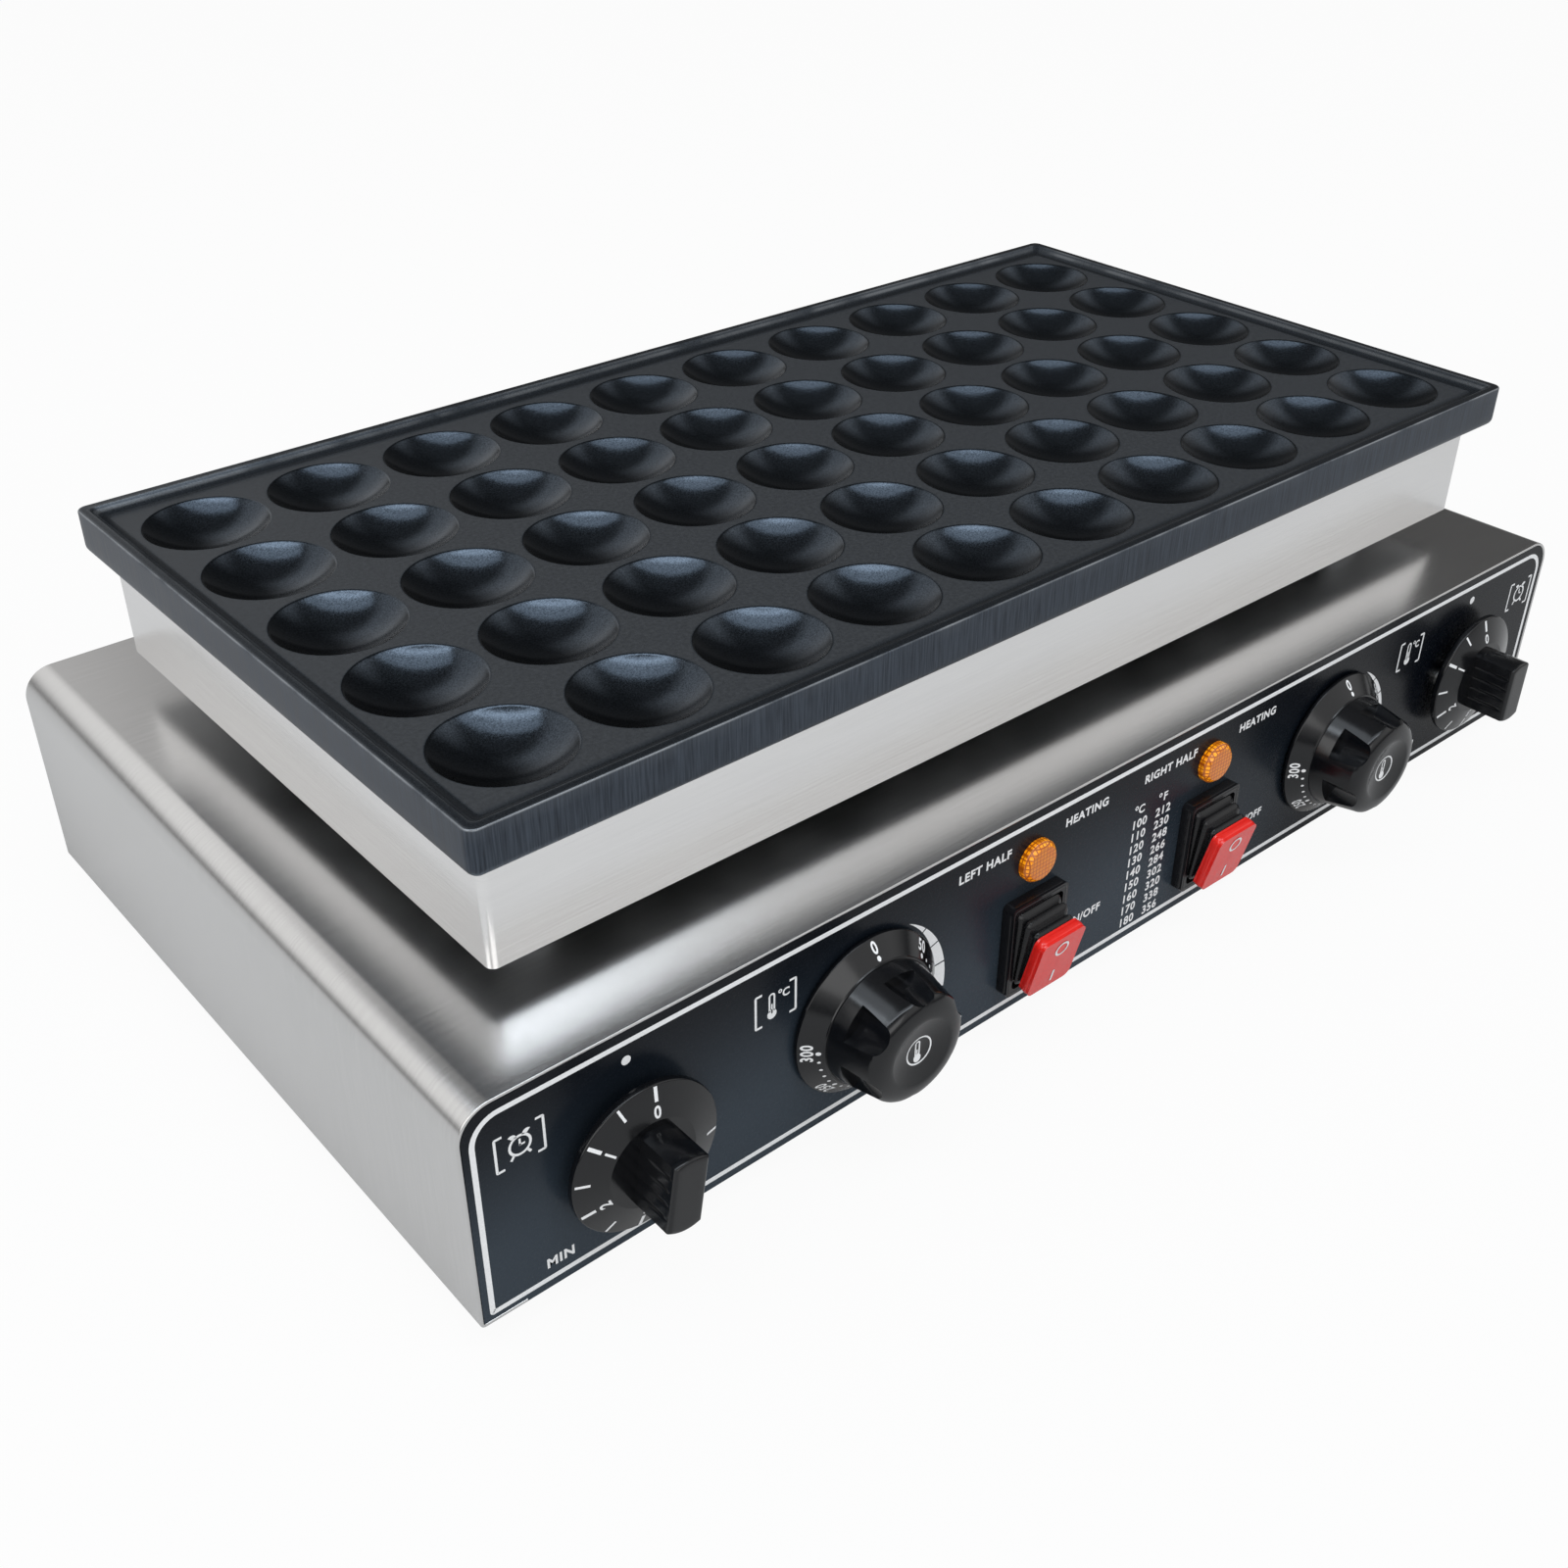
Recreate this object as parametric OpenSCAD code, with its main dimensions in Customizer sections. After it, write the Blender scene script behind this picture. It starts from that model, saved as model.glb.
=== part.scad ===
// Countertop mini pancake maker: a cast plate with a grid of round cups on a heated head,
// which stands on spacers above a wider base with two timers, two thermostats and two switches.
// Millimetres. +Z is up, the controls face -Y, and the origin is under the middle of the base,
// on the surface that the feet stand on. Depths on the control panel count outwards from its film.

/* [Cooking plate] */
// Mouth diameter of one cup
cup_d = 45; // [38:0.5:46]
// Depth of one cup below the land between the cups
cup_depth = 9; // [6:0.5:10]
// Distance between neighbouring cup centres
cup_pitch = 49; // [48:0.5:54]
// Number of cups along the front
cup_columns = 10; // [9:1:12]
// Number of cups from front to back
cup_rows = 5; // [4:1:6]
// Distance from the outer cup centres to the plate's ends
plate_margin = 34; // [32:0.5:45]
// Distance from the outer cup centres to the plate's front and back edges
plate_margin_front = 36; // [32:0.5:45]
// Thickness of the plate below the land
plate_t = 14; // [13:0.5:20]
// Height of the raised rim above the land
rim_h = 3; // [1:0.25:6]
// Width of the flat top of the rim
rim_top_w = 3; // [2:0.5:6]
// Width of the slope from the rim down to the land
rim_slope_w = 5; // [2:0.5:7]
// Radius of the plate's upright corners
plate_corner_r = 4; // [3:0.5:12]
// Width of the bevel along the plate's lower edge
plate_bevel = 3.5; // [1:0.5:5]

/* [Head] */
// How far the plate stands out past the head's left and right walls
plate_overhang = 7; // [3:0.5:10]
// How far the plate stands out past the head's front and back walls
plate_overhang_front = 9; // [3:0.5:10]
// Height of the head from its floor to the plate
head_h = 40.3; // [38:0.1:60]
// Sheet thickness of the head
head_t = 1.2; // [0.8:0.1:2]
// Outer bend radius of the head's upright corners
head_corner_r = 3; // [2.5:0.5:6]
// Width of the flange that the plate rests on
head_flange_w = 14; // [8:1:18]
// Height of the head floor's turned-up edge
floor_edge_h = 12; // [6:1:20]
// Air gap between the base and the head
head_gap = 12.2; // [6:0.1:25]

/* [Base casing] */
// Ledge of the base past the head, left and right
ledge_side = 34.5; // [28:0.5:60]
// Ledge of the base past the head, front and back
ledge_front = 33; // [28:0.5:60]
// Height of the base casing
casing_h = 86; // [84:0.5:110]
// Sheet thickness of the base
casing_t = 1.2; // [0.8:0.1:2]
// Outer bend radius of the casing's long top edges
casing_r = 12; // [6:0.5:20]
// Width of the casing's bottom flanges
casing_flange_w = 16; // [12:1:25]
// Distance from the casing's sides to the base plate's edge
base_inset = 4; // [2:0.5:6]
// Height of the feet
foot_h = 9; // [6:0.5:20]
// Diameter of a foot at its top
foot_d = 28; // [24:1:40]
// Distance from the casing's ends to the foot centres
foot_inset = 45; // [35:1:70]

/* [Front panel] */
// Thickness of the front and rear panels
panel_t = 1.5; // [1:0.1:2.5]
// Thickness of the printed film
film_t = 0.4; // [0.2:0.1:0.8]
// How far the film lies behind the casing's front edge
panel_inset = 0.3; // [0.1:0.1:2]
// Depth of the panels' turned-back edges
panel_edge_d = 10; // [6:1:14]
// Distance from the casing's end to the timer's axis
timer_inset = 57.5; // [50:0.5:70]
// Distance between a timer's and a thermostat's axes
dial_spacing = 95; // [80:0.5:100]
// Distance from the middle of the panel to a switch and its lamp
switch_x = 49; // [40:0.5:54]
// How far the timers lie below the middle of the casing's height
timer_drop = 2.5; // [-3:0.5:5]
// How far the thermostats lie below the middle of the casing's height
thermostat_drop = 2.5; // [-3:0.5:5]
// How far the switches lie below the middle of the casing's height
switch_drop = 12; // [10:0.5:15]
// How far the lamps lie below the casing's top
lamp_drop = 21.5; // [18:0.5:23]

/* [Knobs] */
// Gap between the film and the skirt of a thermostat knob
thermostat_gap = 0.6; // [0.5:0.1:2]
// Skirt diameter of a thermostat knob
thermostat_skirt_d = 62; // [58:1:68]
// Grip diameter of a thermostat knob at its foot
thermostat_grip_d = 47; // [42:0.5:50]
// How far a thermostat knob stands out of the panel
thermostat_out = 28.5; // [27:0.5:40]
// Number of flutes around the grip
flute_count = 6; // [5:1:8]
// Gap between the film and the skirt of a timer knob
timer_gap = 5; // [3:0.5:6]
// Skirt diameter of a timer knob
timer_skirt_d = 54; // [50:1:64]
// Width of the timer's bar grip
timer_bar_w = 12.5; // [12:0.5:18]
// Length of the timer's bar grip
timer_bar_l = 27.5; // [24:0.5:36]
// How far a timer knob stands out of the panel
timer_out = 29; // [25:0.5:40]
// How far the left timer's grip stands turned past its mark
timer_left_turn = 9; // [0:1:30]
// Diameter of the shafts
shaft_d = 6; // [5:0.5:6]
// How deep the flat of a D-shaped shaft end is
shaft_flat = 1.5; // [1:0.1:2]
// Radial running clearance of a shaft in its bush
shaft_gap = 0.05; // [0.02:0.01:0.1]

/* [Switches and lamps] */
// Width of a switch frame
switch_w = 28.5; // [27:0.5:34]
// Height of a switch frame
switch_h = 39.5; // [38:0.5:42]
// How far a switch frame stands out of the panel
switch_frame_out = 5; // [4:0.5:8]
// Width of a rocker's cap
rocker_w = 22; // [18:0.5:24]
// Height of a rocker's cap
rocker_h = 27; // [22:0.5:29]
// Distance from a rocker's pivot to the face of its cap
rocker_reach = 16.1; // [15:0.1:20]
// Angle of a rocker to either side of level
rocker_tilt = 13; // [8:0.5:14]
// Diameter of a lamp's lens
lamp_d = 16.4; // [15.5:0.1:18]
// How far a lamp's lens stands out of the panel
lamp_out = 4.2; // [3.5:0.1:8]

/* [Inside] */
// Diameter of the heating elements and of the thermostat bulbs
element_d = 8; // [6.5:0.5:9]
// Number of straight legs of one element
element_legs = 4; // [4:2:4]
// Thickness of the insulation slab
insulation_t = 18; // [10:1:18]
// Thread diameter of the tie studs and clamp studs
stud_d = 6; // [5:0.5:7]
// Diameter of a spacer between base and head
spacer_d = 22; // [16:1:28]
// Distance from the head's walls to the tie studs
tie_inset = 32; // [30:0.5:34]
// Outer diameter of a wire bush
bush_d = 18; // [16:0.5:20]
// How far the cable gland stands out of the back
gland_out = 30; // [26:0.5:45]
// Cable diameter that the gland's seal takes
cable_d = 9; // [7:0.5:10]

/* [Hidden] */
$fn = 64;

// Colours
steel = [0.80, 0.79, 0.78];
dark_plate = [0.22, 0.24, 0.27];
film_black = [0.10, 0.12, 0.14];
plastic_black = [0.07, 0.07, 0.08];
rubber_black = [0.05, 0.05, 0.06];
rocker_red = [0.85, 0.12, 0.10];
lamp_amber = [0.95, 0.60, 0.08];
zinc = [0.72, 0.73, 0.74];
brass_yellow = [0.80, 0.66, 0.36];
ceramic_white = [0.93, 0.92, 0.88];
wool_white = [0.90, 0.89, 0.84];
wire_white = [0.86, 0.85, 0.80];
copper_red = [0.72, 0.42, 0.30];

// Clearances
seat_gap = 0.2;
thread_gap = 0.05;
hole_gap = 0.3;
cut = 1;

// Levels and outlines
plate_l = (cup_columns - 1) * cup_pitch + 2 * plate_margin;
plate_w = (cup_rows - 1) * cup_pitch + 2 * plate_margin_front;
head_l = plate_l - 2 * plate_overhang;
head_w = plate_w - 2 * plate_overhang_front;
casing_w = head_l + 2 * ledge_side;
casing_d = head_w + 2 * ledge_front;
casing_z = foot_h + casing_t;
casing_top = casing_z + casing_h;
head_z = casing_top + head_gap;
plate_z = head_z + head_h;
land_z = plate_z + plate_t;
face_y = -(casing_d / 2 - panel_inset);
panel_back = film_t + panel_t;
timer_x = casing_w / 2 - timer_inset;
thermostat_x = timer_x - dial_spacing;
timer_z = casing_h / 2 - timer_drop;
thermostat_z = casing_h / 2 - thermostat_drop;
switch_z = casing_h / 2 - switch_drop;
lamp_z = casing_h - lamp_drop;

// Elements, studs and bulbs under the plate
element_mid_gap = 36;
element_end_gap = 46;
element_wall_gap = 13;
pitch_step = 0.2;
element_room = head_l / 2 - element_mid_gap - element_end_gap;
element_pitch = pitch_step * floor(element_room / (element_legs - 1) / pitch_step);
element_z = plate_z - seat_gap - element_d / 2;
leg_half = head_w / 2 - element_wall_gap - element_pitch / 2 - element_d / 2;
cold_end_l = 14;
pin_d = 3;
pin_l = 14;
bead_d = element_d - seat_gap;
bead_l = 6;
bar_t = 3;
bar_w = 18;
bar_y = 50;
bar_end = 10;
bar_z = plate_z - 2 * seat_gap - element_d - bar_t;
boss_d = 16;
boss_h = element_d - 0.5;
tie_boss_h = 10;
stud_bite = boss_h + 2;
stud_tail = 2;
nut_h = 5;
nut_d = 11.5;
flange_nut_d = 17;
flange_nut_t = 1.6;
tie_x = head_l / 2 - tie_inset;
tie_y = head_w / 2 - tie_inset;
reflector_t = 0.8;
reflector_z = head_z + head_t + insulation_t;
stud_hole_d = 12;
bulb_x = leg_x((element_legs - 1) / 2);
bulb_l = 2 * bar_y + bar_w + 4;
bulb_tip = 4;
capillary_d = 2.4;
bush_wall = 1.5;
bush_collar_d = bush_d + 8;
bush_collar_t = 1.6;
bush_in = 6;

// Controls behind and in front of the panel
collar_d = 10;
collar_out = 2;
shaft_in = 20;
shaft_out = 19;
hub_d = 13;
hub_start = collar_out + 1;
ring_t = 0.8;
ring_w = 5;
ring_start = hub_start + 0.5;
thermostat_edge = 1.8;
thermostat_cone_h = 6;
timer_edge = 3;
timer_cone_h = 3.5;
grip_taper = 3;
nose_h = 4;
nose_in = 7.5;
dish_d = 25.5;
dish_depth = 2;
flute_r = 9;
flute_bite = 2.3;
flute_turn = 6;
flute_rise = 5.6;
knob_wall = 2.5;
timer_foot_d = 32;
screw_d = 4;
screw_head_d = 7;
screw_head_h = 2.2;
screw_spacing = 28;
screw_l = 9;
thermostat_w = 36;
thermostat_h = 46;
thermostat_d = 30;
timer_w = 46;
timer_d = 32;
body_r = 3;
blade_w = 6.3;
blade_t = 0.8;
blade_l = 8;
blade_x = 9;
blade_drop = 12;
inlet_x = -8;
inlet_z = 14;
inlet_d = 6;
inlet_l = 4;

// Switches: sizes from the film outwards, and the rocker about its pivot
switch_edge_r = 2;
switch_wall = 2.6;
housing_w = 22.6;
housing_h = 30.6;
housing_d = 24;
cavity_w = 18;
cavity_h = 27;
cavity_d = 12;
pivot_depth = -1;
pivot_d = 3;
pivot_bite = 1.6;
rocker_heel_w = cavity_w - 0.6;
rocker_heel_h = 16;
rocker_heel_r = 6;
rocker_neck_w = 14;
rocker_neck_h = 9;
cap_t = 4.6;
cap_r = 3;
boot_seat = 2.2;
boot_tiers = 3;
boot_neck_gap = 0.6;
boot_step = 0.9;
tier_lip_r = 2.5;
tier_rise = (rocker_reach - cap_t - seat_gap - boot_seat + pivot_depth) / boot_tiers;

// Lamps
lamp_stem_d = 12.6;
lamp_flange_d = 14;
lamp_flange_t = 1.5;
lamp_body_l = 24;
lamp_pin_x = 3;
lamp_pin_w = 2.8;
lamp_pin_l = 7;
lamp_nut_d = 19;
lamp_nut_t = 1;
lens_edge = 2.2;
lens_bevel = 1.8;

// Terminal block, earth stud and gland at the back
block_l = 62;
block_w = 24;
block_h = 20;
block_poles = 6;
block_pole_pitch = 9.6;
block_y = casing_d / 2 - 70;
block_slot_w = 7;
block_slot_d = 5;
earth_x = 60;
earth_h = 22;
gland_z = 38;
gland_hex_d = 27;
gland_hex_l = 7;
gland_thread_d = 20;
gland_inside_l = 10;
gland_nut_t = 5;
gland_wall = 2.4;
gland_cap_d = 25;
gland_cap_tip_d = 15;
gland_mouth_l = 4;
seal_wall = 2;

// Vents
slot_w = 4;
slot_l = 34;
slot_pitch = 10;
slot_count = 9;
vent_x = 150;
floor_vent_y = 20;

// How many steps the item of a row lies from the row's middle
function from_middle(i, count) = i - (count - 1) / 2;

// How far a leg of an element lies from the middle of the head
function leg_x(i) = element_mid_gap + i * element_pitch;

// A rectangle with round corners, centred
module round_rect(w, h, r) {
    square([w - 2 * r, h], center = true);
    square([w, h - 2 * r], center = true);
    for (sx = [-1, 1], sy = [-1, 1])
        translate([sx * (w / 2 - r), sy * (h / 2 - r)])
            circle(r = r);
}

// An upright outline with a flat foot at 0 and two round top corners
module arch(w, h, r) {
    translate([-w / 2, 0]) square([w, h - r]);
    translate([-w / 2 + r, 0]) square([w - 2 * r, h]);
    for (s = [-1, 1])
        translate([s * (w / 2 - r), h - r])
            circle(r = r);
}

// A slot with round ends, upright in the plane
module slot_2d() {
    square([slot_w, slot_l - slot_w], center = true);
    for (s = [-1, 1])
        translate([0, s * (slot_l - slot_w) / 2])
            circle(d = slot_w);
}

// A tube standing on the plane
module tube(d, bore, h) {
    difference() {
        cylinder(d = d, h = h);
        translate([0, 0, -cut]) cylinder(d = bore, h = h + 2 * cut);
    }
}

// Places a shape modelled outwards along +Z on the front panel
module on_panel(x, z) {
    translate([x, face_y, casing_z + z])
        rotate([90, 0, 0])
            children();
}

// Places a shape modelled outwards along +Z on the rear panel
module on_back(x, z) {
    translate([x, -face_y, casing_z + z])
        rotate([-90, 0, 0])
            children();
}

// Places a shape at each of the four tie studs
module at_ties() {
    for (sx = [-1, 1], sy = [-1, 1])
        translate([sx * tie_x, sy * tie_y, 0])
            children();
}

// Places a shape at each clamp stud, between the first and last pairs of legs
module at_clamps() {
    for (side = [-1, 1], pair = [0.5, element_legs - 1.5], sy = [-1, 1])
        translate([side * leg_x(pair), sy * bar_y, 0])
            children();
}

// Places a shape at each wire bush
module at_bushes() {
    for (side = [-1, 1])
        translate([side * bulb_x, 0, 0])
            children();
}

// Places a shape at each foot
module at_feet() {
    for (sx = [-1, 1], sy = [-1, 1])
        translate([sx * (casing_w / 2 - foot_inset), sy * (casing_d / 2 - foot_inset), 0])
            children();
}

// One cup: a slice of a ball, from its floor to just above the land
module cup_cut() {
    ball_r = (pow(cup_d / 2, 2) + pow(cup_depth, 2)) / (2 * cup_depth);
    rotate_extrude()
        intersection() {
            translate([0, ball_r - cup_depth]) circle(r = ball_r);
            translate([0, -cup_depth]) square([cup_d / 2, cup_depth + rim_h / 4]);
        }
}

// The upright section of the recess inside the rim, with its two slopes run on past the top
module recess_2d(across_top) {
    floor_half = across_top / 2 - rim_slope_w;
    over_half = across_top / 2 + cut * rim_slope_w / rim_h;
    top = rim_h + cut;
    polygon([[-floor_half, 0], [floor_half, 0], [over_half, top], [-over_half, top]]);
}

// The recess inside the rim, with four sloping sides
module land_cut() {
    l = plate_l - 2 * rim_top_w;
    w = plate_w - 2 * rim_top_w;
    intersection() {
        rotate([90, 0, 0])
            linear_extrude(plate_w, center = true)
                recess_2d(l);
        rotate([90, 0, 90])
            linear_extrude(plate_l, center = true)
                recess_2d(w);
    }
}

// A square bar on its edge along each lower edge of the plate, which cuts the bevel
module plate_bevel_cut() {
    side = plate_bevel * sqrt(2);
    translate([0, 0, plate_z]) {
        for (end = [-1, 1])
            translate([end * plate_l / 2, 0, 0])
                rotate([0, 45, 0])
                    cube([side, plate_w + 2 * cut, side], center = true);
        for (end = [-1, 1])
            translate([0, end * plate_w / 2, 0])
                rotate([45, 0, 0])
                    cube([plate_l + 2 * cut, side, side], center = true);
    }
}

module cooking_plate() {
    color(dark_plate)
        difference() {
            union() {
                translate([0, 0, plate_z])
                    linear_extrude(plate_t + rim_h)
                        round_rect(plate_l, plate_w, plate_corner_r);
                at_clamps()
                    translate([0, 0, plate_z - boss_h]) cylinder(d = boss_d, h = boss_h + cut);
                at_ties()
                    translate([0, 0, plate_z - tie_boss_h]) cylinder(d = boss_d, h = tie_boss_h + cut);
            }
            translate([0, 0, land_z]) land_cut();
            plate_bevel_cut();
            for (i = [0 : cup_columns - 1], j = [0 : cup_rows - 1])
                translate([0, 0, land_z])
                    translate(cup_pitch * [from_middle(i, cup_columns), from_middle(j, cup_rows)])
                        cup_cut();
            at_clamps()
                translate([0, 0, plate_z - boss_h - cut])
                    cylinder(d = stud_d + 2 * thread_gap, h = stud_bite + cut);
            at_ties()
                translate([0, 0, plate_z - tie_boss_h - cut])
                    cylinder(d = stud_d + 2 * thread_gap, h = tie_boss_h + stud_bite - boss_h + cut);
        }
}

module head_casing() {
    color(steel)
        translate([0, 0, head_z])
            difference() {
                linear_extrude(head_h) round_rect(head_l, head_w, head_corner_r);
                translate([0, 0, -cut])
                    linear_extrude(head_h + cut - head_t)
                        round_rect(head_l - 2 * head_t, head_w - 2 * head_t, head_corner_r - head_t);
                linear_extrude(head_h + cut)
                    round_rect(head_l - 2 * head_flange_w, head_w - 2 * head_flange_w, head_corner_r);
            }
}

module head_floor() {
    l = head_l - 2 * (head_t + seat_gap);
    w = head_w - 2 * (head_t + seat_gap);
    r = head_corner_r - head_t - seat_gap;
    color(zinc)
        difference() {
            translate([0, 0, head_z]) linear_extrude(floor_edge_h) round_rect(l, w, r);
            translate([0, 0, head_z + head_t])
                linear_extrude(floor_edge_h)
                    square([l - 2 * head_t, w - 2 * head_t], center = true);
            at_ties()
                translate([0, 0, head_z - cut])
                    cylinder(d = stud_d + 2 * hole_gap, h = head_t + 2 * cut);
            at_bushes()
                translate([0, 0, head_z - cut])
                    cylinder(d = bush_d + 2 * seat_gap, h = head_t + 2 * cut);
        }
}

// A flat layer inside the head with holes for the tie studs and the wire bushes
module head_layer(z, t) {
    l = head_l - 4 * (head_t + seat_gap);
    w = head_w - 4 * (head_t + seat_gap);
    translate([0, 0, z])
        difference() {
            linear_extrude(t) square([l, w], center = true);
            at_ties() translate([0, 0, -cut]) cylinder(d = stud_hole_d, h = t + 2 * cut);
            at_bushes() translate([0, 0, -cut]) cylinder(d = bush_d + 2 * hole_gap, h = t + 2 * cut);
        }
}

module insulation_slab() {
    color(wool_white) head_layer(head_z + head_t, insulation_t);
}

module reflector() {
    color(zinc) head_layer(reflector_z, reflector_t);
}

// One element: legs from front to back joined by half-round bends, with a cold end at the
// front of the first and of the last leg
module heating_element(side) {
    color(zinc)
        mirror([side < 0 ? 1 : 0, 0, 0])
            translate([element_mid_gap, 0, element_z]) {
                for (i = [0 : element_legs - 1]) {
                    outer = i == 0 || i == element_legs - 1;
                    front = -leg_half - (outer ? cold_end_l : 0);
                    translate([i * element_pitch, front, 0])
                        rotate([-90, 0, 0])
                            cylinder(d = element_d, h = leg_half - front);
                    if (outer)
                        translate([i * element_pitch, front - pin_l, 0])
                            rotate([-90, 0, 0])
                                cylinder(d = pin_d, h = pin_l + cut);
                }
                for (i = [0 : element_legs - 2]) {
                    way = i % 2 == 0 ? 1 : -1;
                    translate([(i + 0.5) * element_pitch, way * leg_half, 0])
                        rotate([0, 0, way > 0 ? 0 : 180])
                            rotate_extrude(angle = 180)
                                translate([element_pitch / 2, 0])
                                    circle(d = element_d);
                }
            }
}

module heating_element_left() heating_element(-1);
module heating_element_right() heating_element(1);

module element_beads() {
    color(ceramic_white)
        for (side = [-1, 1], i = [0, element_legs - 1])
            translate([side * leg_x(i), -leg_half - cold_end_l - seat_gap, element_z])
                rotate([90, 0, 0])
                    tube(bead_d, pin_d + 2 * thread_gap, bead_l);
}

module clamp_bars() {
    l = (element_legs - 1) * element_pitch + element_d + 2 * bar_end;
    color(zinc)
        difference() {
            for (side = [-1, 1], sy = [-1, 1])
                translate([side * bulb_x, sy * bar_y, bar_z])
                    linear_extrude(bar_t) square([l, bar_w], center = true);
            at_clamps()
                translate([0, 0, bar_z - cut])
                    cylinder(d = stud_d + 2 * hole_gap, h = bar_t + 2 * cut);
        }
}

module clamp_studs() {
    bottom = bar_z - nut_h - stud_tail;
    color(zinc)
        at_clamps()
            translate([0, 0, bottom])
                cylinder(d = stud_d, h = plate_z - boss_h + stud_bite - seat_gap - bottom);
}

module clamp_nuts() {
    color(zinc)
        at_clamps()
            translate([0, 0, bar_z - nut_h])
                difference() {
                    cylinder(d = nut_d, h = nut_h, $fn = 6);
                    translate([0, 0, -cut]) cylinder(d = stud_d + 2 * thread_gap, h = nut_h + 2 * cut);
                }
}

module tie_studs() {
    bottom = casing_top - casing_t - flange_nut_t - nut_h - stud_tail;
    color(zinc)
        at_ties()
            translate([0, 0, bottom])
                cylinder(d = stud_d, h = plate_z + stud_bite - boss_h - seat_gap - bottom);
}

module tie_nuts() {
    color(zinc)
        at_ties()
            translate([0, 0, casing_top - casing_t - flange_nut_t - nut_h])
                difference() {
                    union() {
                        cylinder(d = nut_d, h = nut_h + cut / 2, $fn = 6);
                        translate([0, 0, nut_h]) cylinder(d = flange_nut_d, h = flange_nut_t);
                    }
                    translate([0, 0, -cut])
                        cylinder(d = stud_d + 2 * thread_gap, h = nut_h + flange_nut_t + 2 * cut);
                }
}

module spacers() {
    color(zinc)
        at_ties()
            translate([0, 0, casing_top])
                tube(spacer_d, stud_d + 2 * hole_gap, head_gap);
}

// Flanged bushes that lead the wires and capillaries through the gap
module wire_bushes() {
    bottom = casing_top - casing_t - bush_in;
    length = head_gap + 2 * bush_in + casing_t + head_t;
    color(ceramic_white)
        at_bushes() {
            translate([0, 0, bottom]) tube(bush_d, bush_d - 2 * bush_wall, length);
            translate([0, 0, casing_top]) tube(bush_collar_d, bush_d - bush_wall, bush_collar_t);
        }
}

module base_casing() {
    color(steel)
        difference() {
            translate([0, 0, casing_z])
                rotate([90, 0, 0])
                    linear_extrude(casing_d, center = true)
                        difference() {
                            arch(casing_w, casing_h, casing_r);
                            translate([0, casing_t])
                                arch(casing_w - 2 * casing_t, casing_h - 2 * casing_t, casing_r - casing_t);
                            translate([-casing_w / 2 + casing_flange_w, -cut])
                                square([casing_w - 2 * casing_flange_w, casing_t + 2 * cut]);
                        }
            at_ties()
                translate([0, 0, casing_top - casing_t - cut])
                    cylinder(d = stud_d + 2 * hole_gap, h = casing_t + 2 * cut);
            at_bushes()
                translate([0, 0, casing_top - casing_t - cut])
                    cylinder(d = bush_d + 2 * seat_gap, h = casing_t + 2 * cut);
            at_base_screws()
                translate([0, 0, casing_z - cut])
                    cylinder(d = screw_d + 2 * thread_gap, h = casing_t + 2 * cut);
        }
}

// The outline of the front and rear panels, inside the casing and notched over its flanges
module panel_outline(inner) {
    w = casing_w - 2 * (casing_t + seat_gap + inner);
    h = casing_h - casing_t - seat_gap - inner;
    notch_w = casing_flange_w + seat_gap + inner;
    notch_h = casing_t + seat_gap + inner;
    difference() {
        translate([0, inner]) arch(w, h - inner, casing_r - casing_t - seat_gap - inner);
        for (s = [-1, 1])
            translate([s * (casing_w / 2 - notch_w / 2), 0])
                square([notch_w, 2 * notch_h], center = true);
    }
}

// A panel sheet with turned-back edges, its face at 0 and its edges behind it
module edged_panel() {
    translate([0, 0, -panel_t])
        linear_extrude(panel_t) panel_outline(0);
    translate([0, 0, -panel_edge_d])
        linear_extrude(panel_edge_d - panel_t / 2)
            difference() {
                panel_outline(0);
                panel_outline(casing_t);
            }
}

// Holes through the panel and the film for everything that the panel carries
module panel_cuts() {
    deep = panel_edge_d + cut;
    for (side = [-1, 1]) {
        for (at = [[timer_x, timer_z], [thermostat_x, thermostat_z]])
            on_panel(side * at[0], at[1])
                translate([0, 0, -deep]) {
                    cylinder(d = collar_d + 2 * hole_gap, h = deep + cut);
                    for (s = [-1, 1])
                        translate([s * screw_spacing / 2, 0, 0])
                            cylinder(d = screw_d + 2 * hole_gap, h = deep + cut);
                }
        on_panel(side * switch_x, switch_z)
            translate([0, 0, -deep])
                linear_extrude(deep + cut)
                    square([housing_w + 2 * hole_gap, housing_h + 2 * hole_gap], center = true);
        on_panel(side * switch_x, lamp_z)
            translate([0, 0, -deep])
                cylinder(d = lamp_stem_d + 2 * hole_gap, h = deep + cut);
    }
}

module front_panel() {
    color(zinc)
        difference() {
            on_panel(0, 0) translate([0, 0, -film_t]) edged_panel();
            panel_cuts();
        }
}

module panel_film() {
    color(film_black)
        difference() {
            on_panel(0, 0)
                translate([0, 0, -film_t])
                    linear_extrude(film_t) panel_outline(0);
            panel_cuts();
        }
}

module rear_panel() {
    color(steel)
        difference() {
            on_back(0, 0) mirror([0, 1, 0]) edged_panel();
            on_back(0, 0)
                for (side = [-1, 1], i = [0 : slot_count - 1])
                    translate([side * vent_x, -casing_h / 2, -panel_edge_d])
                        translate([from_middle(i, slot_count) * slot_pitch, 0, 0])
                            linear_extrude(panel_edge_d + cut) slot_2d();
            on_back(0, gland_z)
                translate([0, 0, -panel_edge_d])
                    cylinder(d = gland_thread_d + 2 * hole_gap, h = panel_edge_d + cut);
        }
}

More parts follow.
